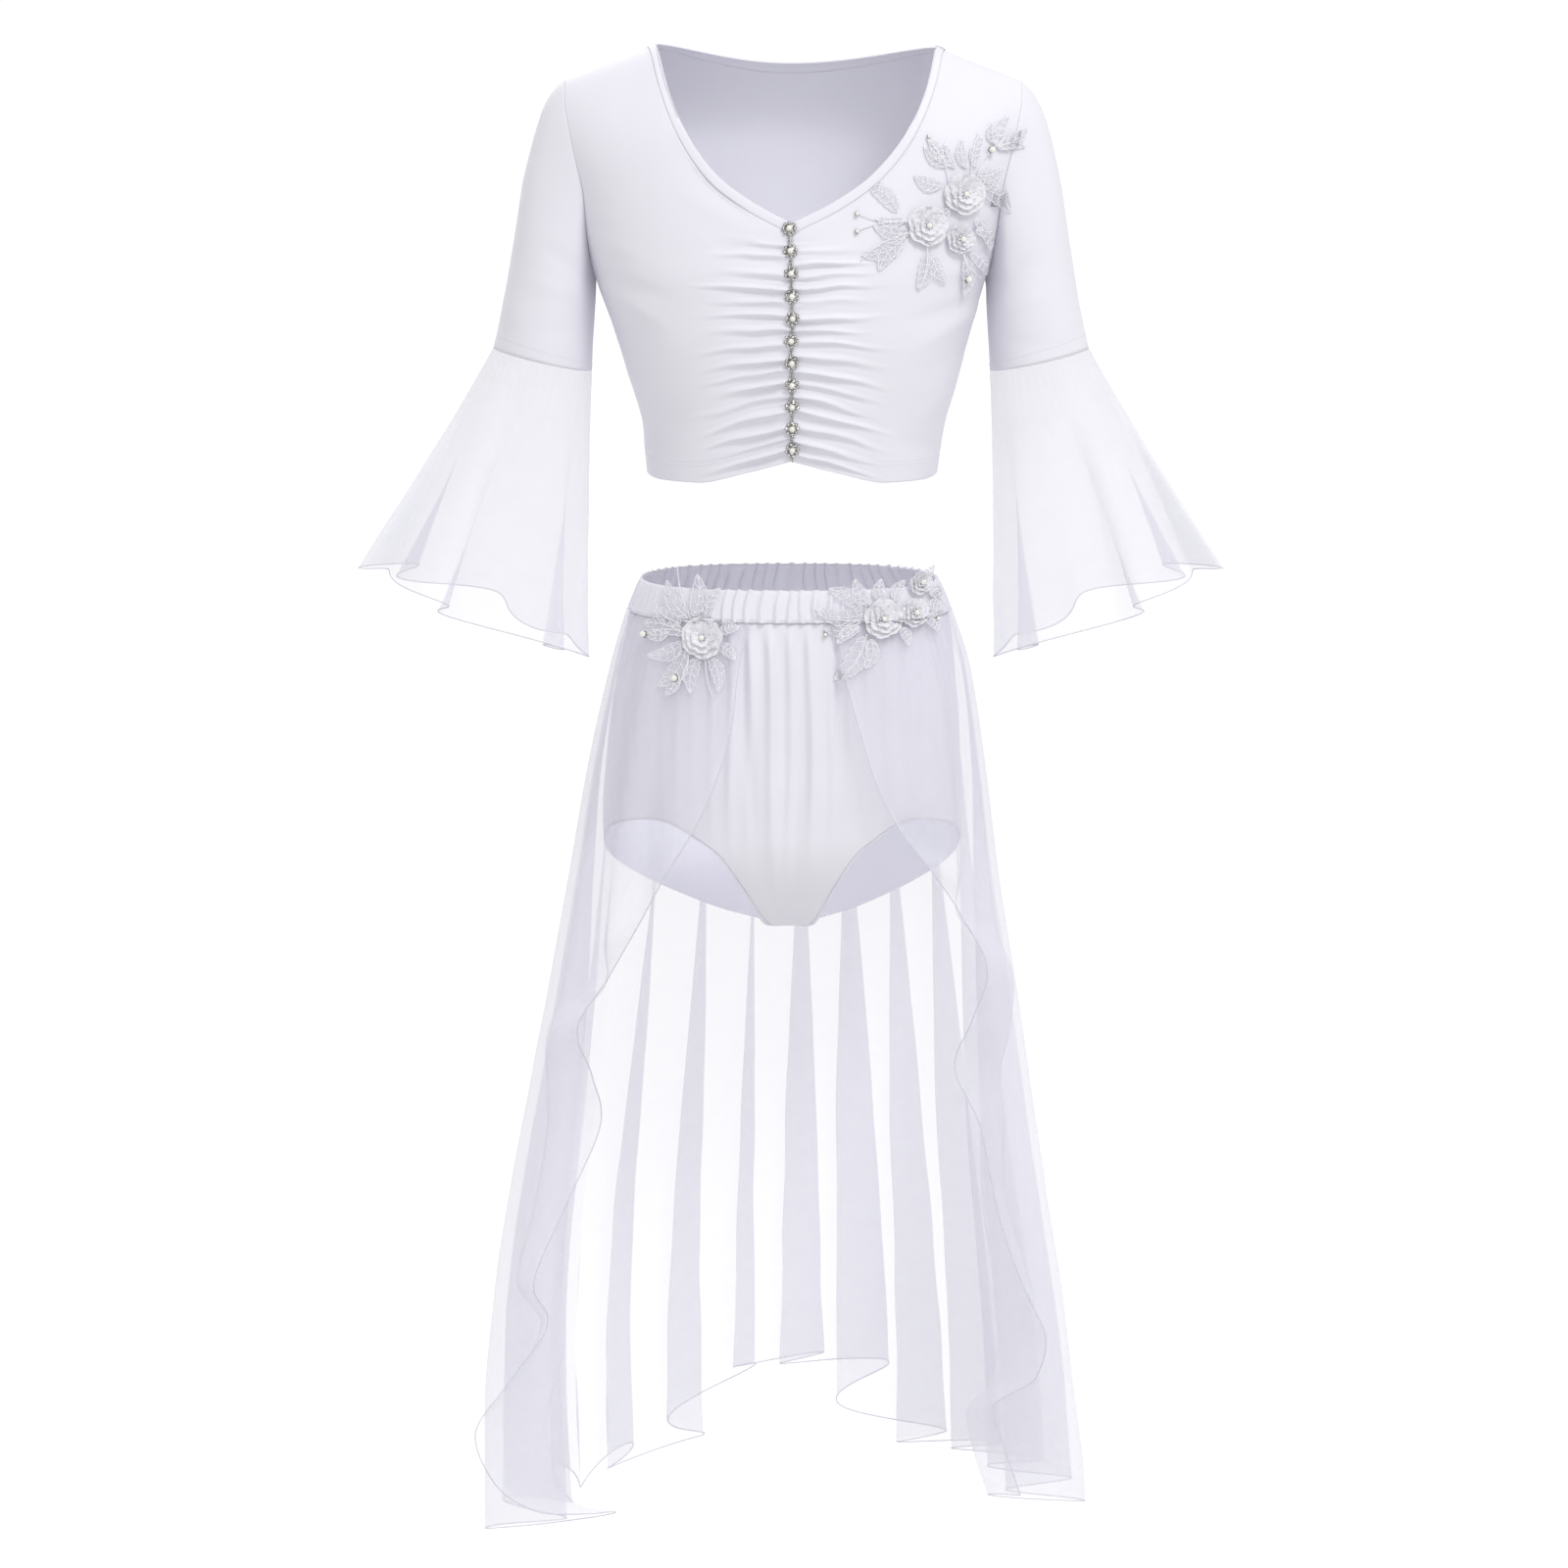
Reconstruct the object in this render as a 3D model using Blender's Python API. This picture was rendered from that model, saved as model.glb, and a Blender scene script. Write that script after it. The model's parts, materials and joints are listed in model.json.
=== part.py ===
"""Two-piece skirted leotard for stage wear, worn on nobody: a cropped knit top with a V neck, a
ruched front and chiffon bell cuffs, and high-cut knit briefs under a waistband that carries an
open chiffon overskirt with cascading front edges.

Lengths below are millimetres and angles are degrees. MM turns a length into metres where a mesh
is made. X runs to the viewer's right, the front faces -Y, and Z is up. The origin lies between
the two ends of the neckline on the shoulder line, where the wearer carries the top.

An angle goes round the body as seen from above: 0 at the centre front, 90 at the right side,
180 at the centre back, and negative on the left.
"""
import bisect
import math

import bmesh
import bpy
from mathutils import Vector

for leftover in list(bpy.data.objects):
    bpy.data.objects.remove(leftover)

MM = 0.001

# Cloth thicknesses and the gaps at seams
KNIT = 1.4
CHIFFON = 1.2
BINDING = 1.8
ELASTIC = 3.0
SEAM_GAP = 0.3
ARMHOLE_GAP = 0.6
SQUARENESS = 0.25
MITRE_LIMIT = 0.45

# Heights of the landmarks
V_TIP = -142.6
NECK_END = -1.0
UNDERARM = -193.0
BAND_TOP = -442.0
BAND_BOTTOM = -468.5
CROTCH = -741.0
SKIRT_TOP = BAND_BOTTOM - SEAM_GAP

# The shoulder line, and how far below it the body rounds over
NECK_HALF = 112.0
SHOULDER_SLOPE = 0.385
SHOULDER_ROUND = 80.0
SETTLING_STEPS = 6
CROTCH_ROUND = 95.0

# Ruching at the centre front
RUCHES = 12
RUCHE_DEPTH = 2.1
RUCHE_WANDER = 0.4
RUCHE_WANDER_SPAN = 14.0

# The neck binding and the waistband
BINDING_WIDTH = 8.0
BINDING_PROUD = 0.4
BAND_GATHERS = 40
BAND_GATHER_DEPTH = 0.7

# The overskirt's flutes
BACK_FLUTES = 12
FRONT_FLUTE_ANGLE = 18.75
BACK_FLUTE_SHARE = 0.62
FLUTE_LEAN = 0.32
EDGE_BLEND = 14.0
EDGE_SNAP = 0.9
HEM_RISE = 78.0
HEM_RISE_START = 0.87
HEM_RISE_SPAN = 0.13

# The pearl trim down the centre front
STUDS = 11
STUD_WIDTH = 12.0
STUD_HEIGHT = 4.6
CHAIN_WIDTH = 2.2
TRIM_TOP = -147.0
TRIM_PITCH = 17.9
TRIM_CLEAR = 1.5


def table(columns, rows):
    """Named columns of numbers, each a list that runs down the rows."""
    return {name: list(values) for name, values in zip(columns.split(), zip(*rows))}


def read(rows, key, name, place):
    """The value of a column where the key column is at a place, on a smooth line through rows."""
    keys = rows[key]
    values = rows[name]
    if place <= keys[0]:
        return values[0]
    if place >= keys[-1]:
        return values[-1]
    low = bisect.bisect_right(keys, place) - 1
    span = keys[low + 1] - keys[low]
    t = (place - keys[low]) / span

    def slope(index):
        if index == 0 or index == len(keys) - 1:
            inner = 1 if index == 0 else index - 1
            return (values[inner] - values[index]) / (keys[inner] - keys[index])
        before = (values[index] - values[index - 1]) / (keys[index] - keys[index - 1])
        after = (values[index + 1] - values[index]) / (keys[index + 1] - keys[index])
        if before * after <= 0.0:
            return 0.0
        return 2.0 * before * after / (before + after)

    start = slope(low) * span
    end = slope(low + 1) * span
    a, b = values[low], values[low + 1]
    return ((2 * t**3 - 3 * t**2 + 1) * a + (t**3 - 2 * t**2 + t) * start
            + (-2 * t**3 + 3 * t**2) * b + (t**3 - t**2) * end)


# Level sections of the top: half widths to the left and right, depths to the front and back
TORSO = table("height left right front back", (
    (-360, 120.5, 122.0, 90, 80),
    (-315, 124.0, 128.5, 96, 83),
    (-270, 136.5, 141.0, 103, 87),
    (-230, 149.0, 151.5, 107, 91),
    (-193, 161.8, 161.5, 107, 95),
    (-160, 171.5, 172.5, 102, 98),
    (-120, 184.0, 186.5, 93, 99),
    (-80, 199.0, 202.0, 82, 97),
    (-30, 212.0, 216.0, 68, 90),
    (0, 218.0, 222.0, 62, 84),
))

# The hem of the front, which the ruching lifts at the centre
FRONT_HEM = table("angle height", (
    (0, -336), (16, -345), (40, -355), (62, -355), (90, -351.5),
))

# Half of the neck opening's front edge, from the tip of the V to the shoulder line
NECKLINE = table("height left right", (
    (-142.6, 0.0, 0.0),
    (-125, 32.5, 35.5),
    (-103, 61.5, 66.5),
    (-68.5, 86.0, 94.5),
    (-34, 101.5, 111.0),
    (-1, 111.0, 119.0),
))
BACK_NECK_DROP = 15.5

# The armhole on the front and on the back of the body
ARMHOLE = table("height front back", (
    (-193, 90, 90),
    (-178, 84, 96),
    (-150, 75, 104),
    (-116, 67.5, 110),
    (-78, 64.5, 113),
    (-48, 63.5, 116),
    (-31, 61.5, 118.5),
))

# Level sections of the briefs
HIPS = table("height left right front back", (
    (-745, 146, 130, 92, 110),
    (-690, 157, 140, 97, 118),
    (-650, 160, 145, 101, 127),
    (-600, 157, 144, 105, 125),
    (-520, 146, 139, 104, 110),
    (-468, 135.2, 132.5, 96.8, 96.8),
))

# The edge of the leg opening from the crotch round to the side, as an angle from the front or
# back centre, and the height on that centre line of the row of the panel that ends there
LEG_FRONT = table("angle height centre", (
    (7, -741, -741),
    (9, -733, -737),
    (16, -690, -718),
    (26, -656, -672),
    (45, -636, -628),
    (66, -645, -598),
    (90, -672, -572),
))
LEG_BACK = table("angle height centre", (
    (7, -741, -741), (22, -736, -731), (43, -722, -710), (66, -700, -680), (90, -672, -640),
))

# Level sections of the waistband
WAIST = table("height left right front back", (
    (-468.5, 137.0, 134.5, 98.6, 98.6),
    (-442, 125.6, 122.6, 92.0, 92.0),
))

# Level sections through the crests of the overskirt, and the depth of its flutes at the sides
SKIRT = table("height left right front back flute", (
    (-1290, 268, 262, 166, 250, 35),
    (-1180, 267, 251, 164, 234, 32),
    (-1052, 256, 234, 160, 214, 28),
    (-964, 241, 219, 157, 200, 25),
    (-877, 224, 206, 154, 187, 21),
    (-790, 207, 193, 150, 173, 16),
    (-700, 190, 178, 145, 160, 10),
    (-600, 172, 165, 134, 143, 5),
    (-520, 153.5, 152, 117, 120, 2.6),
    (-468, 138.2, 135.7, 99.8, 99.8, 0.7),
))

# The free front edges of the overskirt, a row for each turn of the cascade: the angle and height
# of the edge, how far it swings out from the base, and the height of the side seam in that row
LEFT_CASCADE = table("row angle height swing side", (
    (0, 14.5, -468.8, 0.4, -468.8),
    (1, 17.0, -505, 0, -505),
    (2, 18.0, -552, 0, -552),
    (3, 22.0, -598, 0, -600),
    (4, 27.5, -636, 0, -640),
    (5, 36.0, -677, 0, -686),
    (6, 44.0, -720, 0, -730),
    (7, 53.0, -765, 2, -778),
    (8, 62.0, -812, 10, -826),
    (9, 64.0, -860, -16, -872),
    (10, 65.0, -905, -34, -918),
    (11, 67.0, -975, -11, -985),
    (12, 68.5, -1040, 10, -1048),
    (13, 70.0, -1080, -10, -1088),
    (14, 72.0, -1130, 22, -1135),
    (15, 73.0, -1173, 52, -1178),
    (16, 74.0, -1222, 33, -1224),
    (17, 75.0, -1256, -14, -1258),
    (18, 76.0, -1264, -61, -1283),
))
RIGHT_CASCADE = table("row angle height swing side", (
    (0, 16.0, -468.8, 0.4, -468.8),
    (1, 17.5, -510, 0, -508),
    (2, 21.5, -556, 0, -552),
    (3, 26.5, -602, 0, -600),
    (4, 34.0, -640, 0, -640),
    (5, 45.0, -676, 0, -686),
    (6, 55.0, -712, 2, -730),
    (7, 63.0, -762, 10, -778),
    (8, 64.5, -808, -8, -826),
    (9, 66.0, -855, -30, -872),
    (10, 68.0, -905, -14, -918),
    (11, 69.5, -975, -8, -985),
    (12, 69.5, -1035, 4, -1048),
    (13, 70.5, -1062, 12, -1082),
    (14, 71.5, -1092, 20, -1112),
    (15, 72.5, -1130, 6, -1150),
    (16, 73.5, -1162, -35, -1190),
    (17, 74.5, -1192, -29, -1225),
    (18, 75.5, -1240, -18, -1258),
))


def rounded(drop, reach):
    """A quarter circle: 0 at a ridge, 1 at a reach below it."""
    t = min(max(drop, 0.0) / reach, 1.0)
    return math.sqrt(1.0 - (1.0 - t) ** 2)


def ring(sections, angle, height, rounding=1.0, shrink=0.0):
    """A point on the level section of a form."""
    turn = math.radians(angle)
    side = math.sin(turn)
    ahead = math.cos(turn)
    half = read(sections, "height", "right" if side > 0.0 else "left", height) - shrink
    depth = read(sections, "height", "front" if ahead > 0.0 else "back", height) - shrink
    fullness = 1.0 + SQUARENESS * side**2
    return Vector((half * side, -depth * ahead * fullness * rounding, height))


def shoulder_line(angle):
    """The height at which the form of the top reaches the shoulder line, found by settling."""
    height = 0.0
    for _ in range(SETTLING_STEPS):
        height = -max(0.0, abs(ring(TORSO, angle, height).x) - NECK_HALF) * SHOULDER_SLOPE
    return height


def torso(angle, height):
    """The form of the top, closed over at the shoulder line."""
    ridge = shoulder_line(angle)
    height = min(height, ridge)
    return ring(TORSO, angle, height, rounded(ridge - height, SHOULDER_ROUND))


def hips(angle, height):
    """The form of the briefs, closed under at the crotch."""
    return ring(HIPS, angle, height, rounded(height - CROTCH, CROTCH_ROUND))


def waist(angle, height):
    """The form of the waistband."""
    return ring(WAIST, angle, height)


def facing(form, angle, height, up=1.0, step=0.4):
    """The outward direction of a form at an angle and height."""
    along = form(angle + step, height) - form(angle - step, height)
    rise = (form(angle, height + step) - form(angle, height)) * up
    if rise.length < step * 0.5 or up < 0.0:
        rise = form(angle, height) - form(angle, height - step)
    return along.cross(rise).normalized()


def on_front(height, x):
    """The angle at which the front of the top has a given x."""
    half = read(TORSO, "height", "right" if x > 0.0 else "left", height)
    return math.degrees(math.asin(max(-1.0, min(1.0, x / half))))


def mix(a, b, t):
    """A value part of the way from a to b."""
    return a + (b - a) * t


def smooth(t):
    """An eased step from 0 to 1."""
    t = min(max(t, 0.0), 1.0)
    return t * t * (3.0 - 2.0 * t)


def patch(low, high, first, last):
    """A sheet of angles and heights stretched between four edges, each a function of 0 to 1."""
    def inside(u, v):
        result = []
        for axis in (0, 1):
            across = mix(first(v)[axis], last(v)[axis], u)
            upward = mix(low(u)[axis], high(u)[axis], v)
            corners = mix(mix(low(0)[axis], low(1)[axis], u), mix(high(0)[axis], high(1)[axis], u), v)
            result.append(across + upward - corners)
        return result
    return inside


# Materials and the objects' parent

def material(name, colour, roughness, metallic=0.0):
    """A plain material."""
    shade = bpy.data.materials.new(name)
    shade.use_nodes = True
    surface = shade.node_tree.nodes["Principled BSDF"]
    surface.inputs["Base Color"].default_value = (*colour, 1.0)
    surface.inputs["Roughness"].default_value = roughness
    surface.inputs["Metallic"].default_value = metallic
    shade.diffuse_color = (*colour, 1.0)
    return shade


WHITE_KNIT = material("white knit", (0.86, 0.85, 0.91), 0.55)
WHITE_CHIFFON = material("white chiffon", (0.90, 0.89, 0.94), 0.75)
WHITE_LACE = material("white lace", (0.82, 0.81, 0.87), 0.8)
SILVER_PEARL = material("silver and pearl", (0.75, 0.73, 0.68), 0.3, 0.5)

costume = bpy.data.objects.new("costume", None)
bpy.context.collection.objects.link(costume)


def place(name, mesh_builder, shade):
    """An object of the costume from a finished bmesh."""
    mesh = bpy.data.meshes.new(name)
    mesh_builder.to_mesh(mesh)
    mesh_builder.free()
    mesh.shade_smooth()
    mesh.set_sharp_from_angle(angle=math.radians(50))
    mesh.materials.append(shade)
    piece = bpy.data.objects.new(name, mesh)
    piece.parent = costume
    bpy.context.collection.objects.link(piece)
    return piece


def wall(name, surface, columns, rows, thickness, shade, fluted=False):
    """A wall of cloth. surface(u, v) gives a point of its outer face and the way that faces out.
    In a fluted one the inner face follows the bends of the outer face's own mesh."""
    sheet = bmesh.new()
    across = len(columns) - 1
    up = len(rows) - 1
    bmesh.ops.create_grid(sheet, x_segments=across, y_segments=up, size=0.5)
    facings = {}
    for vertex in sheet.verts:
        u = columns[round((vertex.co.x + 0.5) * across)]
        v = rows[round((vertex.co.y + 0.5) * up)]
        point, outward = surface(u, v)
        vertex.co = point * MM
        facings[vertex] = outward
    bmesh.ops.remove_doubles(sheet, verts=sheet.verts[:], dist=1e-6)
    sheet.normal_update()
    if sum(face.normal.dot(facings[face.verts[0]]) for face in sheet.faces) < 0.0:
        bmesh.ops.reverse_faces(sheet, faces=sheet.faces[:])
    bmesh.ops.triangulate(sheet, faces=sheet.faces[:])
    edges = [edge for edge in sheet.edges if edge.is_boundary]
    twin = {}
    for vertex in sheet.verts[:]:
        bent = fluted and not vertex.is_boundary
        outward = vertex.normal.copy() if bent else facings[vertex]
        sharpest = min(face.normal.dot(outward) for face in vertex.link_faces)
        depth = thickness / max(sharpest, MITRE_LIMIT)
        twin[vertex] = sheet.verts.new(vertex.co - outward * depth * MM)
    for face in sheet.faces[:]:
        sheet.faces.new([twin[vertex] for vertex in reversed(face.verts)])
    for edge in edges:
        loop = edge.link_loops[0]
        start, end = loop.vert, loop.link_loop_next.vert
        sheet.faces.new((end, start, twin[start], twin[end]))
    return place(name, sheet, shade)


def spread(count, start=0.0, end=1.0):
    """Evenly spaced values from start to end."""
    return [mix(start, end, index / count) for index in range(count + 1)]


# The top: two front halves, one back. Rows rise from the hem, and the share of them below the
# underarm is the same on each panel.
BODY_SHARE = 0.72
SIDE_TRIM = 0.0008
SHOULDER_TRIM = 0.0022


def upper(v):
    """How far a row has come from the underarm to the shoulder, close-set near the top."""
    t = min(max((v - BODY_SHARE) / (1.0 - BODY_SHARE), 0.0), 1.0)
    return math.sin(t * math.pi / 2)


def neck_opening(side, rise):
    """The front edge of the neck opening, from the tip (0) to the shoulder line (1)."""
    height = mix(V_TIP, NECK_END, rise)
    return read(NECKLINE, "height", side, height), height


def neck_seam(side, rise, width=BINDING_WIDTH):
    """The line a binding's width outside the front neck opening."""
    step = 0.01
    start = min(max(rise, 0.0), 1.0 - step)
    x0, z0 = neck_opening(side, start)
    x1, z1 = neck_opening(side, start + step)
    length = math.hypot(x1 - x0, z1 - z0)
    out_x, out_z = (z1 - z0) / length, -(x1 - x0) / length
    x, z = neck_opening(side, rise)
    tip = max(0.0, 1.0 - rise / 0.06)
    x += width * out_x * (1.0 - tip)
    z += width * mix(out_z, 1.0 / out_z, tip)
    ridge = -max(0.0, x - NECK_HALF) * SHOULDER_SLOPE
    return x, mix(min(z, ridge), ridge, rise**6)


def armhole(side, rise, face):
    """The armhole seam as an angle and a height, from the underarm (0) to the shoulder (1)."""
    tip = shoulder_line(ARMHOLE["front"][-1] * (1.0 if side == "right" else -1.0))
    height = mix(UNDERARM, tip, rise)
    return read(ARMHOLE, "height", face, height), height


def ruche(x, climb):
    """The raised and sunk folds beside the centre seam, uneven in length."""
    if not 0.0 < climb < 1.0:
        return 0.0
    fold = int(climb * RUCHES)
    reach = 64.0 + 30.0 * abs(math.sin(1.9 * fold + 0.7))
    fade = smooth(1.0 - x / reach) * smooth(climb / 0.05) * smooth((1.0 - climb) / 0.06)
    root = mix(0.35, 1.0, smooth(x / 12.0))
    turn = 2 * math.pi * RUCHES * climb + RUCHE_WANDER * math.sin(x / RUCHE_WANDER_SPAN)
    return -RUCHE_DEPTH * fade * root * math.cos(turn)


def front_half(side):
    """The surface of one front half; u runs from the centre seam to the side seam."""
    sign = 1.0 if side == "right" else -1.0

    def centre(v):
        if v < BODY_SHARE:
            return 0.0, mix(FRONT_HEM["height"][0], neck_seam(side, 0.0)[1], v / BODY_SHARE)
        x, height = neck_seam(side, upper(v))
        return abs(on_front(height, sign * x)), height

    def outside(v):
        if v < BODY_SHARE:
            return 90.0, mix(FRONT_HEM["height"][-1], UNDERARM, v / BODY_SHARE)
        return armhole(side, upper(v), "front")

    def hem(u):
        return 90.0 * u, read(FRONT_HEM, "angle", "height", 90.0 * u)

    def shoulder(u):
        angle = mix(centre(1.0)[0], outside(1.0)[0], u)
        return angle, shoulder_line(sign * angle)

    inside = patch(hem, shoulder, centre, outside)

    def surface(u, v):
        angle, height = inside(u, v)
        point = torso(sign * angle, height)
        outward = facing(torso, sign * angle, point.z, up=-1.0)
        point.y -= SEAM_GAP / 2
        return point + outward * ruche(abs(point.x), v / BODY_SHARE), outward
    return surface


RUCHE_ROWS = spread(3 * RUCHES - 3, 0.0, BODY_SHARE)
UPPER_ROWS = spread(9, BODY_SHARE, 1.0 - SHOULDER_TRIM * (1.0 - BODY_SHARE))[1:]
FRONT_COLUMNS = [SIDE_TRIM, 0.07, 0.2, 0.36, 0.55, 0.77, 1.0 - SIDE_TRIM]

for half in ("left", "right"):
    wall("top_front_" + half, front_half(half), FRONT_COLUMNS, RUCHE_ROWS + UPPER_ROWS, KNIT,
         WHITE_KNIT)


def back_neck(x, width=0.0):
    """The height of the back neck opening, or of the line a binding's width below it."""
    side = "right" if x > 0.0 else "left"
    reach = neck_seam(side, 1.0, width)[0] if width else NECKLINE[side][-1]
    end = shoulder_line(on_front(NECK_END, math.copysign(reach, x)))
    share = min(abs(x) / reach, 1.0)
    return end - (BACK_NECK_DROP + width + end) * (1.0 - share**2) ** 1.5


NECK_COLUMNS = 12
SHOULDER_SHARE = 0.17


def neck_ends():
    """The angles at which the neck seam crosses the shoulder line, at the right and left."""
    right = neck_seam("right", 1.0)
    left = neck_seam("left", 1.0)
    return 180.0 - on_front(right[1], right[0]), 180.0 + on_front(left[1], left[0])


def back_panel():
    """The surface of the back; u runs from the right side seam to the left one."""
    start, end = neck_ends()
    share = SHOULDER_SHARE

    def side_edge(side, v):
        turn = 1.0 if side == "right" else -1.0
        if v < BODY_SHARE:
            angle, height = 90.0, mix(FRONT_HEM["height"][-1], UNDERARM, v / BODY_SHARE)
        else:
            angle, height = armhole(side, upper(v), "back")
        return (angle if turn > 0.0 else 360.0 - angle), height

    def hem(u):
        return mix(90.0, 270.0, u), FRONT_HEM["height"][-1]

    def top(u):
        tip = ARMHOLE["back"][-1]
        if u < share:
            angle = mix(tip, start, u / share)
            return angle, shoulder_line(angle)
        if u > 1.0 - share:
            angle = mix(end, 360.0 - tip, (u - 1.0 + share) / share)
            return angle, shoulder_line(angle)
        angle = mix(start, end, (u - share) / (1.0 - 2.0 * share))
        return angle, back_neck(torso(angle, -3.0).x, BINDING_WIDTH)

    inside = patch(hem, top, lambda v: side_edge("right", v), lambda v: side_edge("left", v))

    def surface(u, v):
        angle, height = inside(u, v)
        point = torso(angle, height)
        outward = facing(torso, angle, point.z, up=-1.0)
        point.y += SEAM_GAP / 2
        return point, outward
    return surface


BACK_COLUMNS = ([SIDE_TRIM, SHOULDER_SHARE / 2]
                + spread(NECK_COLUMNS, SHOULDER_SHARE, 1.0 - SHOULDER_SHARE)
                + [1.0 - SHOULDER_SHARE / 2, 1.0 - SIDE_TRIM])
BACK_ROWS = spread(4, 0.0, BODY_SHARE) + UPPER_ROWS
wall("top_back", back_panel(), BACK_COLUMNS, BACK_ROWS, KNIT, WHITE_KNIT)


def binding_point(station, width):
    """A point of the neck binding, which shares its stations with the panels' edges."""
    face, t = station
    if face in ("left", "right"):
        sign = 1.0 if face == "right" else -1.0
        x, height = neck_seam(face, t, width) if width else neck_opening(face, t)
        angle = on_front(height, sign * x)
    else:
        start, end = neck_ends()
        seam_x = torso(mix(start, end, t), -3.0).x
        side = "right" if seam_x > 0.0 else "left"
        reach = neck_seam(side, 1.0, width)[0] if width else NECKLINE[side][-1]
        x = seam_x / neck_seam(side, 1.0)[0] * reach
        height = back_neck(x, width)
        angle = 180.0 - on_front(height, x)
    point = torso(angle, height)
    return point, facing(torso, angle, point.z, up=-1.0)


RISES = [upper(row) for row in UPPER_ROWS[:-1]]
STATIONS = ([("right", rise) for rise in [0.0] + RISES[:-1]]
            + [("right", 1.0)] + [("back", t) for t in spread(NECK_COLUMNS)[1:-1]]
            + [("left", 1.0)] + [("left", rise) for rise in reversed(RISES)] + [("right", 0.0)])


def binding(u, v):
    """The neck binding; u goes round from the V's tip by the right side, v out from the opening."""
    point, outward = binding_point(STATIONS[round(u * (len(STATIONS) - 1))],
                                   (BINDING_WIDTH - 2.0 * SEAM_GAP) * v)
    return point + outward * BINDING_PROUD * (1.0 + math.sin(math.pi * v)), outward


wall("neck_binding", binding, spread(len(STATIONS) - 1), [0.0, 0.5, 1.0], BINDING, WHITE_KNIT)


# Sleeves: a tube from the armhole to the elbow, then a bell of chiffon
CUFF = {"centre": (207.5, 0.0, -259.4), "across": (41.2, 0.0, 9.4), "deep": 45.0}
BELL_HEM = {"centre": (264.0, 0.0, -469.0), "across": (85.0, 0.0, 36.0), "deep": 68.0}
BELL_LOBES = 6
BELL_WAVE = 13.0


def seam_loop(side, share):
    """The armhole seam; share goes round from the shoulder by the front and the underarm."""
    sign = 1.0 if side == "right" else -1.0
    t = abs(1.0 - 2.0 * share)
    face = "front" if share < 0.5 else "back"
    rise = math.sin(t * math.pi / 2)
    angle, height = armhole(side, rise, face)
    point = torso(sign * angle, height)
    return point + Vector((sign * ARMHOLE_GAP, 0.0, 0.0))


def cuff_ring(side, share, size=CUFF):
    """A tilted ring round the arm; share 0 is its outer side and a quarter is its front."""
    sign = 1.0 if side == "right" else -1.0
    turn = 2 * math.pi * share
    centre = Vector((sign * size["centre"][0], size["centre"][1], size["centre"][2]))
    across = Vector((sign * size["across"][0], size["across"][1], size["across"][2]))
    return centre + across * math.cos(turn) + Vector((0.0, -size["deep"] * math.sin(turn), 0.0))


def sleeve(side):
    """The sleeve's surface; u goes round and v runs down from the armhole."""
    sign = 1.0 if side == "right" else -1.0

    def form(u, v):
        outer = (1.0 + math.cos(2 * math.pi * u)) / 2
        start = seam_loop(side, u % 1.0)
        end = cuff_ring(side, u)
        chord = (end - start).length
        away = 0.05 + 0.77 * outer
        leave = Vector((sign * away, 0.0, -math.sqrt(1.0 - away**2)))
        arrive = Vector((sign * mix(0.06, 0.26, outer), 0.0, -1.0)).normalized()
        a, b = start + leave * chord * 0.2, end - arrive * chord * 0.42
        w = 1.0 - v
        return start * w**3 + a * 3 * w**2 * v + b * 3 * w * v**2 + end * v**3

    return with_facing(form, -sign)


def with_facing(form, sign, step=1e-3):
    """A surface of u and v, with v running down, and its outward direction."""
    def surface(u, v):
        along = form(u + step, v) - form(u - step, v)
        down = form(u, v + step) - form(u, v - step)
        return form(u, v), (down.cross(along) * sign).normalized()
    return surface


def bell(side):
    """The chiffon bell's surface, falling from the cuff in lobes that open towards the hem."""
    sign = 1.0 if side == "right" else -1.0

    def form(u, v):
        top = cuff_ring(side, u)
        low = cuff_ring(side, u, BELL_HEM)
        middle = Vector(BELL_HEM["centre"])
        middle.x *= sign
        turn = 2 * math.pi * u
        outward = (low - middle).normalized()
        sideways = Vector((outward.y, -outward.x, 0.0)) * sign
        phase = BELL_LOBES * turn + 0.5 * math.sin(2 * turn + 0.6)
        depth = BELL_WAVE * v**1.4 * (0.8 + 0.35 * math.sin(turn + 0.8))
        point = top.lerp(low, v) + outward * depth * math.cos(phase)
        point += sideways * depth * 0.35 * math.cos(phase)
        point.z -= 4.0 * v * math.cos(phase)
        return point

    return with_facing(form, -sign)


SLEEVE_TRIM = 0.15 / 150.0
for half in ("left", "right"):
    wall("sleeve_" + half, sleeve(half), spread(18), spread(7, 0.0, 1.0 - SLEEVE_TRIM), KNIT,
         WHITE_KNIT)
    wall("bell_" + half, bell(half), spread(6 * BELL_LOBES), spread(5, SLEEVE_TRIM, 1.0), CHIFFON,
         WHITE_CHIFFON)


# The briefs: a front and a back that meet at the sides and at the crotch
BRIEF_TOP = BAND_BOTTOM - SEAM_GAP
BRIEF_LEG = 0.55


def gather(angle, height):
    """Soft gathers that hang from the waistband at the centre front."""
    drop = (BRIEF_TOP - height) / 190.0
    near = smooth(1.2 - abs(angle) / 42.0)
    rows = math.cos(math.radians(angle * 19.0)) * near
    return 1.7 * rows * smooth(drop * 8.0) * smooth(1.15 - drop)


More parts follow.
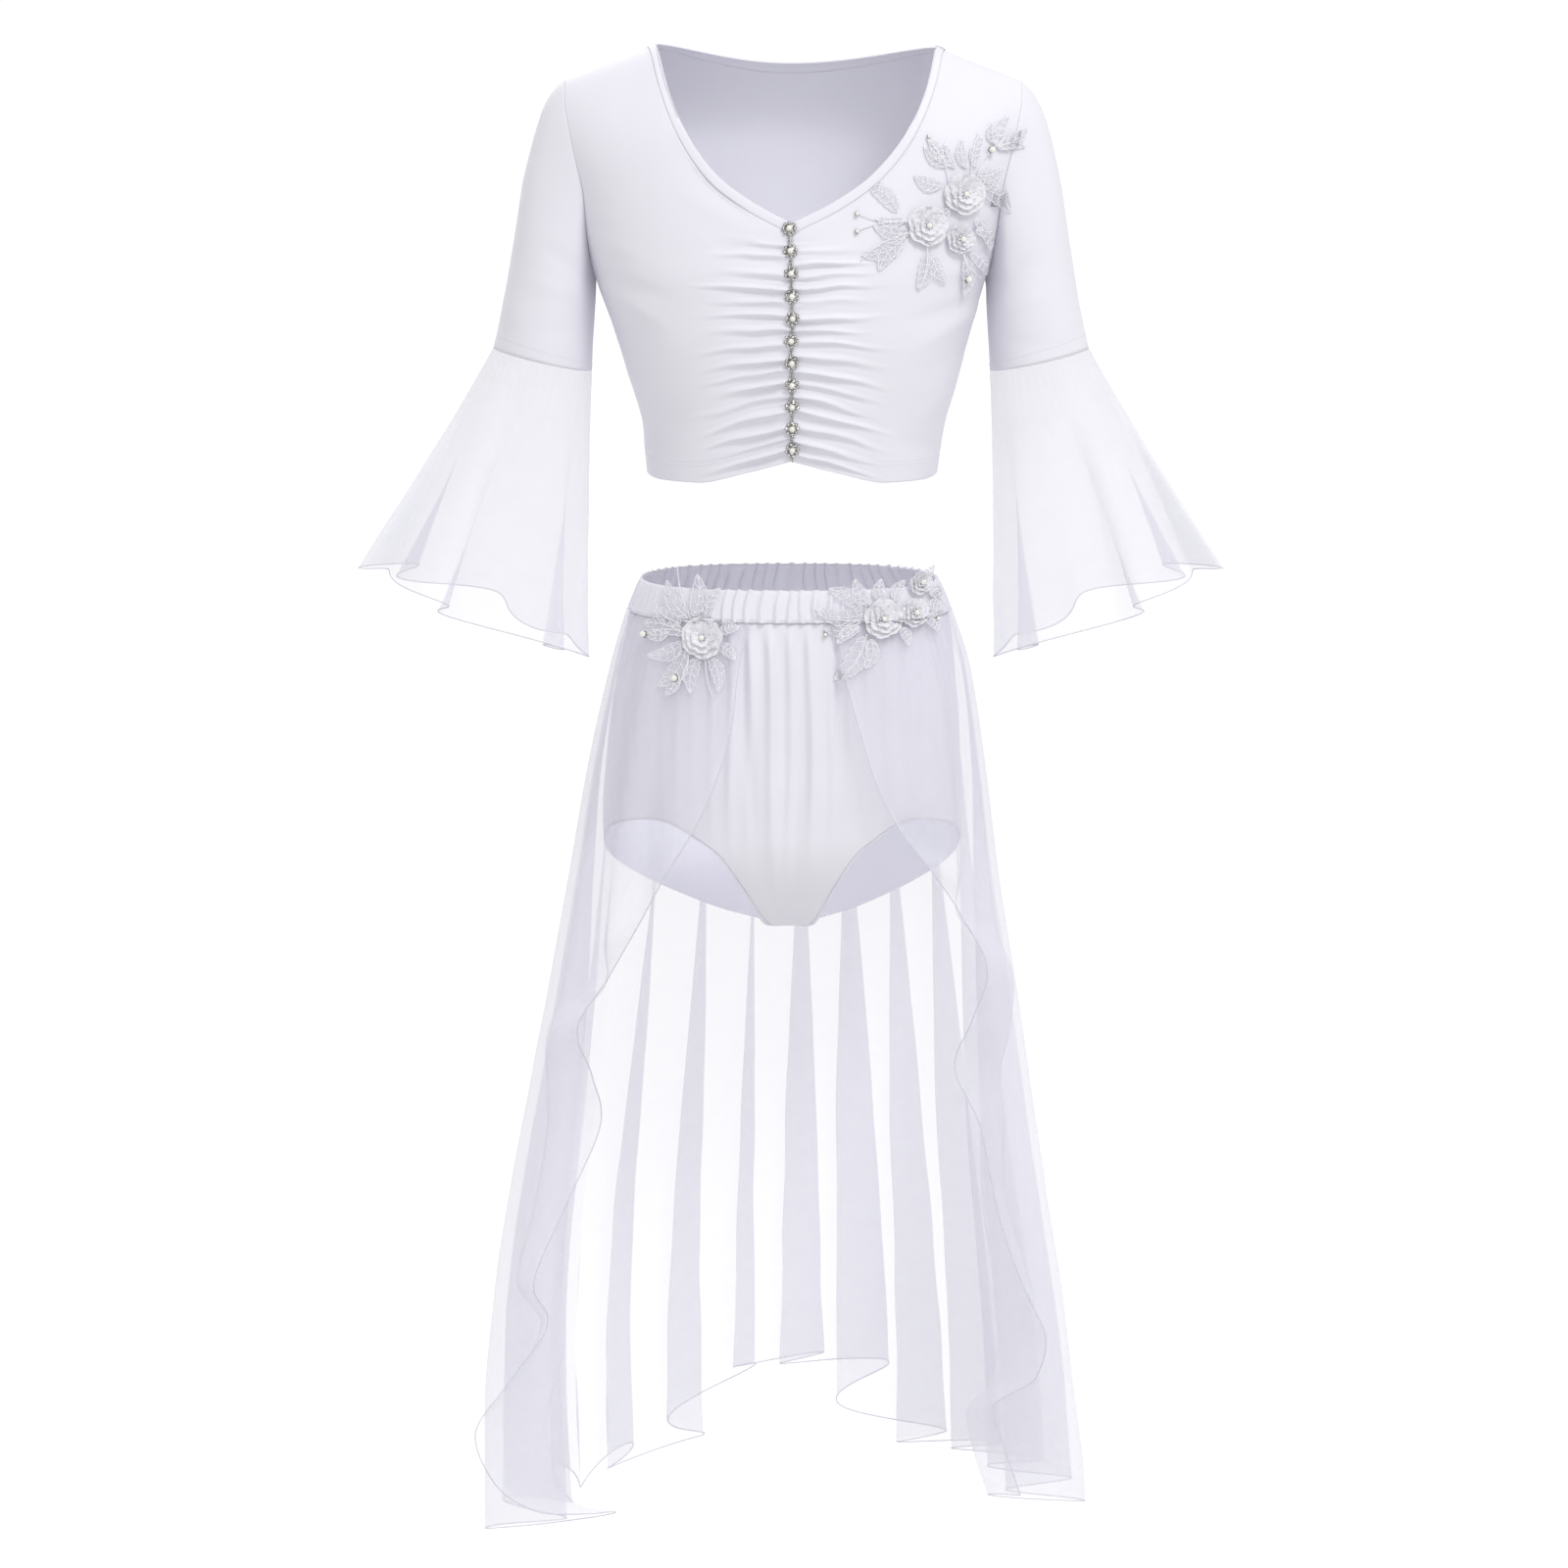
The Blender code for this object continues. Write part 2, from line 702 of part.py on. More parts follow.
def brief_panel(face):
    """The surface of the front or back of the briefs; v rises from the crotch."""
    leg = LEG_FRONT if face == "front" else LEG_BACK

    def row(v):
        rise = min(v / BRIEF_LEG, 1.0)
        angle = mix(leg["angle"][0], 90.0, rise**1.4)
        edge, centre = (read(leg, "angle", name, angle) for name in ("height", "centre"))
        above = max(0.0, (v - BRIEF_LEG) / (1.0 - BRIEF_LEG))
        return angle, mix(edge, BRIEF_TOP, above), mix(centre, BRIEF_TOP, above)

    def surface(u, v):
        across = 2.0 * u - 1.0
        edge_angle, edge_height, centre_height = row(v)
        angle = across * edge_angle
        height = max(mix(centre_height, edge_height, across**2), CROTCH + 0.02)
        if face == "back":
            angle = 180.0 + angle
        point = hips(angle, height)
        outward = facing(hips, angle, height)
        if face == "front":
            point = point + outward * gather(angle, height)
        return point, outward
    return surface


BRIEF_TRIM = 0.0005
for face, name in (("front", "brief_front"), ("back", "brief_back")):
    wall(name, brief_panel(face), spread(14, BRIEF_TRIM, 1.0 - BRIEF_TRIM), spread(11, 0.004, 1.0),
         KNIT, WHITE_KNIT)


# The waistband
def waistband(u, v):
    """The gathered elastic band; u goes round and v rises."""
    angle = 360.0 * u
    height = mix(BAND_BOTTOM, BAND_TOP, v)
    outward = facing(waist, angle, mix(BAND_BOTTOM + 1.0, BAND_TOP - 1.0, v), up=-1.0)
    outward = Vector((outward.x, outward.y, 0.0)).normalized()
    puff = BAND_GATHER_DEPTH * math.cos(2 * math.pi * BAND_GATHERS * u)
    return waist(angle, height) + outward * (1.5 + puff), outward


wall("waistband", waistband, spread(3 * BAND_GATHERS), [0.0, 1.0], ELASTIC, WHITE_KNIT)


# The overskirt: one back panel and two front panels, hung from the waistband in flutes
def flute_phase(angle):
    """The turn of the flutes at an angle from 0 to 360: a crest lies on each side seam."""
    if angle > 180.0:
        return flute_phase(360.0 - angle)
    if angle >= 90.0:
        even = (angle - 90.0) * BACK_FLUTES / 180.0
        return 2 * math.pi * even + 0.6 * math.sin(math.radians(4.0 * (angle - 90.0)))
    return 2 * math.pi * (90.0 - angle) / FRONT_FLUTE_ANGLE


def flute_depth(angle, height):
    """How far a crest stands out from the base, shallower at the back and front."""
    side = math.sin(math.radians(angle)) ** 4
    uneven = 1.0 + 0.16 * math.sin(math.radians(5.0 * angle + 40.0)) * (1.0 - side)
    return read(SKIRT, "height", "flute", height) * mix(BACK_FLUTE_SHARE, 1.0, side) * uneven


def skirt_base(angle, height):
    """The smooth cone midway between crests and troughs."""
    return ring(SKIRT, angle, height, shrink=read(SKIRT, "height", "flute", height))


def skirt_form(angle, height, swing=None):
    """A point of the fluted overskirt, or one that swings a set distance from the base."""
    base = skirt_base(angle, height)
    outward = facing(skirt_base, angle, height, up=-1.0)
    outward.z = 0.0
    outward.normalize()
    sideways = Vector((-outward.y, outward.x, 0.0))
    if swing is None:
        swing = flute_depth(angle, height) * math.cos(flute_phase(angle % 360.0))
    lean = FLUTE_LEAN * math.cos(math.radians(angle))
    return base + outward * swing + sideways * swing * lean


def hem_height(angle):
    """The height of the back panel's hem, which rises to the centre back."""
    side = mix(LEFT_CASCADE["side"][-1], RIGHT_CASCADE["side"][-1],
               0.5 + 0.5 * math.sin(math.radians(angle)))
    return side + HEM_RISE * smooth((-math.cos(math.radians(angle)) - HEM_RISE_START) / HEM_RISE_SPAN)


def skirt_back():
    """The back panel; u goes round from the right side seam to the left one, v runs down."""
    def form(u, v):
        angle = mix(90.0, 270.0, u)
        return skirt_form(angle, mix(SKIRT_TOP, hem_height(angle), v))
    return with_facing(form, 1.0)


def skirt_front(side):
    """A front panel; u runs from the side seam (0) to the centre (1), v down the cascade. Flutes
    keep their angles, and a column that would pass the free edge ends on it."""
    sign = 1.0 if side == "right" else -1.0
    rows = RIGHT_CASCADE if side == "right" else LEFT_CASCADE
    last = rows["row"][-1]

    def form(angle, row):
        edge_angle = read(rows, "row", "angle", row)
        edge_height = read(rows, "row", "height", row)
        swing = read(rows, "row", "swing", row)
        across = (90.0 - angle) / (90.0 - edge_angle)
        height = mix(read(rows, "row", "side", row), edge_height, across)
        point = skirt_form(sign * angle % 360.0, height)
        edge = skirt_form(sign * edge_angle % 360.0, edge_height, swing)
        natural = skirt_form(sign * edge_angle % 360.0, edge_height)
        reach = min(EDGE_BLEND, 90.0 - edge_angle)
        return point + (edge - natural) * smooth(1.0 - (angle - edge_angle) / reach)

    def surface(u, v):
        row = v * last
        edge_angle = read(rows, "row", "angle", row)
        angle = mix(90.0, rows["angle"][0], u)
        if angle < edge_angle + EDGE_SNAP:
            angle = edge_angle
        along = form(angle + 0.2, row) - form(angle - 0.2, row)
        down = form(angle, min(row + 0.02, last)) - form(angle, max(row - 0.02, 0.0))
        return form(angle, row), (down.cross(along) * sign).normalized()
    return surface


BACK_SKIRT_COLUMNS = spread(6 * BACK_FLUTES, 0.0004, 0.9996)
BACK_SKIRT_ROWS = [0.0, 0.07, 0.18, 0.31, 0.44, 0.57, 0.71, 0.85, 1.0]
wall("skirt_back", skirt_back(), BACK_SKIRT_COLUMNS, BACK_SKIRT_ROWS, CHIFFON, WHITE_CHIFFON,
     fluted=True)
for half in ("left", "right"):
    wall("skirt_front_" + half, skirt_front(half), spread(34, 0.001, 1.0), spread(18), CHIFFON,
         WHITE_CHIFFON, fluted=True)


# The pearl trim: one strand of flower studs on a fine chain over the centre seam
def trim():
    """A strand whose sections swell to a stud at each pitch."""
    stations = []
    for index in range(STUDS):
        middle = TRIM_TOP - index * TRIM_PITCH
        for offset, swell in ((0.5, 0.55), (0.24, 0.93), (-0.24, 0.93), (-0.5, 0.55)):
            stations.append((middle + offset * STUD_WIDTH, swell))
        stations.append((middle - 0.5 * TRIM_PITCH, 0.0))
    strand = bmesh.new()
    sides = 6
    rings = []
    for height, swell in stations:
        crown = torso(0.0, height)
        out = facing(torso, 0.0, height, up=-1.0)
        width = mix(CHAIN_WIDTH, STUD_WIDTH, swell) / 2
        tall = mix(CHAIN_WIDTH, STUD_HEIGHT, swell)
        loop = []
        for corner in range(sides):
            turn = math.pi * corner / (sides - 1)
            side_step = Vector((width * math.cos(turn), 0.0, 0.0))
            lift = TRIM_CLEAR + tall * math.sin(turn)
            loop.append(strand.verts.new((crown + side_step + out * lift) * MM))
        rings.append(loop)
    for upper_ring, lower_ring in zip(rings, rings[1:]):
        for corner in range(sides):
            following = (corner + 1) % sides
            strand.faces.new((upper_ring[corner], upper_ring[following],
                              lower_ring[following], lower_ring[corner]))
    strand.faces.new(rings[0])
    strand.faces.new(rings[-1])
    bmesh.ops.recalc_face_normals(strand, faces=strand.faces[:])
    return place("pearl_trim", strand, SILVER_PEARL)


trim()


# Lace appliques: a leafy plate with raised flowers, laid on the cloth below it
LACE = 1.2
FLOWER_HEIGHT = 6.0
LEAST_REACH = 22.0

SHOULDER_LEAVES = table("direction reach width", (
    (-115, 52, 14), (-82, 66, 14), (-45, 34, 16), (-12, 36, 16), (22, 42, 15), (50, 62, 14),
    (86, 56, 14), (122, 64, 14), (162, 58, 14), (200, 76, 14), (228, 56, 14),
))
SHOULDER_FLOWERS = table("x height radius", ((143, -126, 18), (112, -155, 17), (141, -160, 12)))
LEFT_HIP_LEAVES = table("direction reach width", (
    (-100, 46, 14), (-60, 30, 14), (-10, 22, 16), (40, 34, 13), (84, 44, 12), (124, 46, 13),
    (160, 44, 13), (196, 38, 13), (232, 46, 12),
))
LEFT_HIP_FLOWERS = table("x height radius", ((-72, -486, 18),))
RIGHT_HIP_LEAVES = table("direction reach width", (
    (-140, 52, 14), (-95, 26, 14), (-20, 34, 14), (14, 46, 13), (52, 40, 12), (96, 26, 14),
    (150, 50, 13), (182, 62, 12),
))
RIGHT_HIP_FLOWERS = table("x height radius", ((78, -474, 18), (106, -468, 12), (111, -452, 9)))


def chest_cover(x, height):
    """The cloth of the chest, and the way it faces."""
    angle = on_front(height, x)
    return torso(angle, height), facing(torso, angle, height, up=-1.0)


def hip_cover(x, height):
    """The outermost cloth at the waistband or at the overskirt's crests."""
    sections = WAIST if height > BAND_BOTTOM else SKIRT
    half = read(sections, "height", "right" if x > 0.0 else "left", height)
    angle = math.degrees(math.asin(max(-0.99, min(0.99, x / half))))

    def form(around, level):
        return ring(sections, around, level)

    outward = facing(form, angle, height)
    proud = ELASTIC / 2 + BAND_GATHER_DEPTH if height > BAND_BOTTOM else BAND_GATHER_DEPTH
    return form(angle, height) + outward * proud, outward


def applique(name, centre, leaves, flowers, cloth, clear, rings=4, spokes=32):
    """A closed leafy plate, each point of it set just outside the cloth that it lies on."""
    def outline(degrees):
        reach = LEAST_REACH
        for direction, length, width in zip(*(leaves[key] for key in ("direction", "reach", "width"))):
            away = (degrees - direction + 180.0) % 360.0 - 180.0
            reach = max(reach, length * math.exp(-((away / width) ** 2)))
        return reach

    def petal(x, height):
        best = 0.0
        for fx, fz, radius in zip(flowers["x"], flowers["height"], flowers["radius"]):
            near = math.hypot(x - fx, height - fz) / radius
            best = max(best, FLOWER_HEIGHT * smooth(1.25 - near))
        return best

    plate = bmesh.new()

    def pair(x, height):
        point, outward = cloth(x, height)
        low = point + outward * clear
        high = low + outward * (LACE + petal(x, height))
        return plate.verts.new(low * MM), plate.verts.new(high * MM)

    middle = pair(*centre)
    loops = []
    for ring_index in range(1, rings + 1):
        loop = []
        for spoke in range(spokes):
            degrees = 360.0 * spoke / spokes
            reach = outline(degrees) * ring_index / rings
            turn = math.radians(degrees)
            loop.append(pair(centre[0] + reach * math.cos(turn), centre[1] + reach * math.sin(turn)))
        loops.append(loop)
    for spoke in range(spokes):
        following = (spoke + 1) % spokes
        for level in (0, 1):
            plate.faces.new((middle[level], loops[0][spoke][level], loops[0][following][level]))
            for inner_loop, outer_loop in zip(loops, loops[1:]):
                near, far = inner_loop[spoke][level], outer_loop[spoke][level]
                next_near, next_far = inner_loop[following][level], outer_loop[following][level]
                plate.faces.new((near, far, next_far))
                plate.faces.new((near, next_far, next_near))
        plate.faces.new((loops[-1][spoke][0], loops[-1][spoke][1],
                         loops[-1][following][1], loops[-1][following][0]))
    bmesh.ops.recalc_face_normals(plate, faces=plate.faces[:])
    return place(name, plate, WHITE_LACE)


applique("shoulder_applique", (129, -142), SHOULDER_LEAVES, SHOULDER_FLOWERS, chest_cover, 1.5)
applique("hip_applique_left", (-82, -484), LEFT_HIP_LEAVES, LEFT_HIP_FLOWERS, hip_cover, 2.2)
applique("hip_applique_right", (72, -470), RIGHT_HIP_LEAVES, RIGHT_HIP_FLOWERS, hip_cover, 3.0)
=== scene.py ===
"""The looks of a white two-piece skirted leotard costume: a cropped knit top with chiffon bells and
a pearl trim, and briefs that carry an open chiffon overskirt. Lengths are millimetres until a mesh
is made. An angle goes round the body: 0 at the centre front, 90 at the viewer's right side."""
import bisect
import functools
import json
import math

import bmesh
import bpy
from mathutils import Matrix, Vector, noise
from mathutils.bvhtree import BVHTree

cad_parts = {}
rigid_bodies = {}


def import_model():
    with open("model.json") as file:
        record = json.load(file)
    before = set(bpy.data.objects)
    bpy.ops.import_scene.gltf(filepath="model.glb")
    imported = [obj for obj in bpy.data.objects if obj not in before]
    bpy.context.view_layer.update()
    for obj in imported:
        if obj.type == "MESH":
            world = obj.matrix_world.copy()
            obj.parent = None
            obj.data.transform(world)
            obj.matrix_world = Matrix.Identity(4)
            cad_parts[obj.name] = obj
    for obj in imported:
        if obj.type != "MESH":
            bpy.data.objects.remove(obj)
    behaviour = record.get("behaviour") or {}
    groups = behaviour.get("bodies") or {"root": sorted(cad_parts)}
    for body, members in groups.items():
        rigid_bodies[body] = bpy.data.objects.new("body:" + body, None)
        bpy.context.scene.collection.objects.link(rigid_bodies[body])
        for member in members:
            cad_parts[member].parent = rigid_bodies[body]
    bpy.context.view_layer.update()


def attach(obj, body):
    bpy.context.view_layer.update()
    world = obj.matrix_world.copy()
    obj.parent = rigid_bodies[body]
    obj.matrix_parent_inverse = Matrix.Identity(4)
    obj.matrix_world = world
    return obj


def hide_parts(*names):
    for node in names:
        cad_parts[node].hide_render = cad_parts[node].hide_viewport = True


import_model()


# Studio: a bare pale floor under a white sky, one broad soft light from the upper right with faint
# fills in front, behind and inside, and the camera ten degrees above the costume's middle.
def linear(hexed):
    """An sRGB hex colour as linear red, green, blue and alpha."""
    channels = [int(hexed[i:i + 2], 16) / 255 for i in (1, 3, 5)]
    return [c / 12.92 if c <= 0.04045 else ((c + 0.055) / 1.055) ** 2.4 for c in channels] + [1.0]


def connect(shade, made, **inputs):
    """Sets a node's inputs, each to an output of another node, (node, output), or to a value."""
    for name, value in inputs.items():
        socket = made.inputs[name.replace("_", " ")]
        if isinstance(value, tuple) and hasattr(value[0], "outputs"):
            shade.node_tree.links.new(value[0].outputs[value[1]], socket)
        else:
            socket.default_value = value


def node(shade, kind, settings=None, **inputs):
    """Adds a node with its settings and its inputs."""
    made = shade.node_tree.nodes.new(kind)
    for key, value in (settings or {}).items():
        setattr(made, key, value)
    connect(shade, made, **inputs)
    return made


def finish_material(name):
    """A material, and its main surface node."""
    shade = bpy.data.materials.new(name)
    shade.use_nodes = True
    return shade, shade.node_tree.nodes["Principled BSDF"]


def made_of(name, shape, *shades):
    """An object with the form of a bmesh, which it uses up, and with its materials in order."""
    data = bpy.data.meshes.new(name)
    shape.to_mesh(data)
    shape.free()
    for shade in shades:
        data.materials.append(shade)
    made = bpy.data.objects.new(name, data)
    scene.collection.objects.link(made)
    return made


CAMERA_AWAY = 3.6
CAMERA_RISE = math.radians(10.0)
AIM = Vector((-0.0058, 0.0, -0.6198))
CEILING = 0.62
WALLS = 1.02
BELOW = 0.66
FLOOR_HEIGHT = -1.9
FLOOR_REACH = 300.0

scene = bpy.context.scene
scene.view_settings.view_transform = "Standard"
scene.cycles.transparent_max_bounces = 24
sky = bpy.data.worlds.new("white cove with a dimmer ceiling")
scene.world = sky
sky.use_nodes = True
way = node(sky, "ShaderNodeTexCoord")
rise = node(sky, "ShaderNodeSeparateXYZ", Vector=(way, "Generated"))
share = node(sky, "ShaderNodeMapRange", Value=(rise, "Z"), From_Min=-1.0, From_Max=1.0)
bands = node(sky, "ShaderNodeValToRGB", Fac=(share, "Result"))
for spot, level in ((0.0, BELOW), (0.42, BELOW), (0.47, WALLS), (0.61, WALLS), (0.72, CEILING),
                    (1.0, CEILING)):
    stop = bands.color_ramp.elements.new(spot)
    stop.color = (level, level, level, 1.0)
bands.color_ramp.elements.remove(bands.color_ramp.elements[0])
bands.color_ramp.elements.remove(bands.color_ramp.elements[-1])
connect(sky, sky.node_tree.nodes["Background"], Color=(bands, "Color"), Strength=1.0)

camera = bpy.data.objects.new("camera", bpy.data.cameras.new("camera"))
scene.collection.objects.link(camera)
camera.location = AIM + Vector((0.0, -math.cos(CAMERA_RISE), math.sin(CAMERA_RISE))) * CAMERA_AWAY
camera.rotation_euler = (math.radians(90.0) - CAMERA_RISE, 0.0, 0.0)
camera.data.lens = 97.2
camera.data.sensor_width = 36.0
camera.data.clip_end = 1000.0
scene.camera = camera


def soft_light(name, place, aim, size, watts):
    """A square soft light."""
    lamp = bpy.data.lights.new(name, "AREA")
    lamp.size = size
    lamp.energy = watts
    made = bpy.data.objects.new(name, lamp)
    made.location = place
    made.visible_camera = False
    made.rotation_euler = (Vector(aim) - Vector(place)).to_track_quat("-Z", "Y").to_euler()
    scene.collection.objects.link(made)


soft_light("key", (1.2, -1.9, 2.15), (0.0, 0.0, -0.3), 0.9, 37.0)
soft_light("low fill", (0.2, -1.25, -1.65), (0.0, 0.1, -1.1), 0.8, 2.4)
soft_light("fill from behind", (-1.2, 2.6, 1.6), (0.0, 0.0, -0.6), 1.6, 22.0)
soft_light("glow inside the top", (0.0, -0.04, -0.2), (0.0, 0.1, -0.08), 0.16, 0.055)
soft_light("glow inside the briefs", (0.0, -0.04, -0.58), (0.0, 0.1, -0.68), 0.16, 0.09)

# Matt paint. The costume hangs well clear of it, and it lights itself a little to stay white.
PALE_FLOOR, pale = finish_material("pale studio floor, matt paint")
connect(PALE_FLOOR, pale, Base_Color=linear("#bcbcbc"), Roughness=0.95, Specular_IOR_Level=0.0,
        Emission_Color=linear("#ffffff"), Emission_Strength=0.68)
ground = bmesh.new()
bmesh.ops.create_grid(ground, x_segments=1, y_segments=1, size=FLOOR_REACH,
                      matrix=Matrix.Translation((0.0, 0.0, FLOOR_HEIGHT)))
floor = made_of("floor", ground, PALE_FLOOR)
floor.visible_diffuse = False

# The knit top's front: two halves of smooth stretch knit, cut with the grain down the front and
# gathered by elastic into short folds where they meet at the centre. Their hem is twin-stitched.
MM = 0.001
SIDES = (("left", -1.0), ("right", 1.0))
SQUARENESS = 0.25
V_TIP = -142.6
NECK_END = -1.0
UNDERARM = -193.0
NECK_HALF = 112.0
SHOULDER_SLOPE = 0.385
SHOULDER_ROUND = 80.0
SETTLING_STEPS = 6
BINDING_WIDTH = 8.0
BODY_SHARE = 0.72
RUCHES = 17
RUCHED_LENGTH = 184.0
RUCH_REACH = 64.0
RUCH_DEPTH = 2.1
FINE_RUCH_DEPTH = 0.45
KNIT_THICK = 0.9
SEAM_EASE = 0.15


def table(columns, rows):
    """Named columns of numbers, each a tuple that runs down the rows."""
    return dict(zip(columns.split(), zip(*rows)))


def slopes(keys, values):
    """The slope of a smooth line at each of its points, level wherever the line turns back."""
    runs = [(values[i + 1] - values[i]) / (keys[i + 1] - keys[i]) for i in range(len(keys) - 1)]
    inner = [0.0 if a * b <= 0.0 else 2.0 * a * b / (a + b) for a, b in zip(runs, runs[1:])]
    return [runs[0], *inner, runs[-1]]


def read(rows, key, name, place):
    """The value of a column where the key column is at a place, on a smooth line through rows."""
    keys = rows[key]
    values = rows[name]
    if place <= keys[0]:
        return values[0]
    if place >= keys[-1]:
        return values[-1]
    if name + " slope" not in rows:
        rows[name + " slope"] = slopes(keys, values)
    slope = rows[name + " slope"]
    low = bisect.bisect_right(keys, place) - 1
    span = keys[low + 1] - keys[low]
    t = (place - keys[low]) / span
    a, b, c, d = values[low], slope[low] * span, values[low + 1], slope[low + 1] * span
    return a + t * (b + t * (3.0 * (c - a) - 2.0 * b - d + t * (2.0 * (a - c) + b + d)))


def mix(a, b, t):
    """A value part of the way from a to b."""
    return a + (b - a) * t


def smooth(t):
    """An eased step from 0 to 1."""
    t = min(max(t, 0.0), 1.0)
    return t * t * (3.0 - 2.0 * t)


# Level sections of the top: half widths left and right, depths front and back
TORSO = table("height left right front back", (
    (-360, 120.5, 122.0, 90, 80),
    (-315, 124.0, 128.5, 96, 83),
    (-270, 136.5, 141.0, 103, 87),
    (-230, 149.0, 151.5, 107, 91),
    (-193, 161.8, 161.5, 107, 95),
    (-160, 171.5, 172.5, 102, 98),
    (-120, 184.0, 186.5, 93, 99),
    (-80, 199.0, 202.0, 82, 97),
    (-30, 212.0, 216.0, 68, 90),
    (0, 218.0, 222.0, 62, 84),
))
FRONT_HEM = table("angle height", (
    (0, -336), (16, -345), (40, -355), (62, -355), (90, -351.5),
))
NECKLINE = table("height left right", (
    (-142.6, 0.0, 0.0),
    (-125, 32.5, 35.5),
    (-103, 61.5, 66.5),
    (-68.5, 86.0, 94.5),
    (-34, 101.5, 111.0),
    (-1, 111.0, 119.0),
))
ARMHOLE = table("height front back", (
    (-193, 90, 90),
    (-178, 84, 96),
    (-150, 75, 104),
    (-116, 67.5, 110),
    (-78, 64.5, 113),
    (-48, 63.5, 116),
    (-31, 61.5, 118.5),
))


def rounded(drop, reach):
    """A quarter circle: 0 at a ridge, 1 at a reach below it."""
    t = min(max(drop, 0.0) / reach, 1.0)
    return math.sqrt(1.0 - (1.0 - t) ** 2)


def ring(sections, angle, height, rounding=1.0, shrink=0.0):
    """A point on the level section of a form."""
    turn = math.radians(angle)
    side = math.sin(turn)
    ahead = math.cos(turn)
    half = read(sections, "height", "right" if side > 0.0 else "left", height) - shrink
    depth = read(sections, "height", "front" if ahead > 0.0 else "back", height) - shrink
    fullness = 1.0 + SQUARENESS * side**2
    return Vector((half * side, -depth * ahead * fullness * rounding, height))


@functools.lru_cache(maxsize=None)
def shoulder_line(angle):
    """The height at which the form of the top reaches the shoulder line, found by settling."""
    height = 0.0
    for _ in range(SETTLING_STEPS):
        height = -max(0.0, abs(ring(TORSO, angle, height).x) - NECK_HALF) * SHOULDER_SLOPE
    return height


def torso(angle, height):
    """The form of the top, closed over at the shoulder line."""
    ridge = shoulder_line(round(angle, 3))
    height = min(height, ridge)
    return ring(TORSO, angle, height, rounded(ridge - height, SHOULDER_ROUND))


def facing(form, angle, height, step=0.4):
    """The outward direction of a form at an angle and height."""
    along = form(angle + step, height) - form(angle - step, height)
    rise = form(angle, height) - form(angle, height - step)
    return along.cross(rise).normalized()


def on_front(height, x):
    """The angle at which the front of the top has a given x."""
    half = read(TORSO, "height", "right" if x > 0.0 else "left", height)
    return math.degrees(math.asin(max(-1.0, min(1.0, x / half))))


def patch(low, high, first, last):
    """A sheet of angles and heights stretched between four edges, each a function of 0 to 1."""
    def inside(u, v):
        result = []
        for axis in (0, 1):
            across = mix(first(v)[axis], last(v)[axis], u)
            upward = mix(low(u)[axis], high(u)[axis], v)
            lower = mix(low(0)[axis], low(1)[axis], u)
            higher = mix(high(0)[axis], high(1)[axis], u)
            result.append(across + upward - mix(lower, higher, v))
        return result
    return inside


def upper(v):
    """How far a row has come from the underarm to the shoulder, close-set near the top."""
    t = min(max((v - BODY_SHARE) / (1.0 - BODY_SHARE), 0.0), 1.0)
    return math.sin(t * math.pi / 2)


def neck_opening(side, rise):
    """The front edge of the neck opening, from the tip (0) to the shoulder line (1)."""
    height = mix(V_TIP, NECK_END, rise)
    return read(NECKLINE, "height", side, height), height


def neck_seam(side, rise, width=BINDING_WIDTH):
    """The line a width outside the front neck opening."""
    step = 0.01
    start = min(max(rise, 0.0), 1.0 - step)
    x0, z0 = neck_opening(side, start)
    x1, z1 = neck_opening(side, start + step)
    length = math.hypot(x1 - x0, z1 - z0)
    out_x, out_z = (z1 - z0) / length, -(x1 - x0) / length
    x, z = neck_opening(side, rise)
    tip = max(0.0, 1.0 - rise / 0.06)
    x += width * out_x * (1.0 - tip)
    z += width * mix(out_z, 1.0 / out_z, tip)
    ridge = -max(0.0, x - NECK_HALF) * SHOULDER_SLOPE
    return x, mix(min(z, ridge), ridge, rise**6)


def armhole(side, rise, face):
    """The armhole seam as an angle and a height, from the underarm (0) to the shoulder (1)."""
    tip = shoulder_line(ARMHOLE["front"][-1] * (1.0 if side == "right" else -1.0))
    height = mix(UNDERARM, tip, rise)
    return read(ARMHOLE, "height", face, height), height


def front_half(side):
    """The surface of one front half; u runs from the centre seam to the side seam, v rises."""
    sign = 1.0 if side == "right" else -1.0

    @functools.lru_cache(maxsize=None)
    def centre(v):
        if v < BODY_SHARE:
            return 0.0, mix(FRONT_HEM["height"][0], neck_seam(side, 0.0)[1], v / BODY_SHARE)
        x, height = neck_seam(side, upper(v))
        return abs(on_front(height, sign * x)), height

    @functools.lru_cache(maxsize=None)
    def outside(v):
        if v < BODY_SHARE:
            return 90.0, mix(FRONT_HEM["height"][-1], UNDERARM, v / BODY_SHARE)
        return armhole(side, upper(v), "front")

    @functools.lru_cache(maxsize=None)
    def hem(u):
        return 90.0 * u, read(FRONT_HEM, "angle", "height", 90.0 * u)

    @functools.lru_cache(maxsize=None)
    def shoulder(u):
        angle = mix(centre(1.0)[0], outside(1.0)[0], u)
        return angle, shoulder_line(sign * angle)

    inside = patch(hem, shoulder, centre, outside)

    def surface(u, v):
        angle, height = inside(u, v)
        point = torso(sign * angle, height)
        point.y -= SEAM_EASE
        return point
    return surface


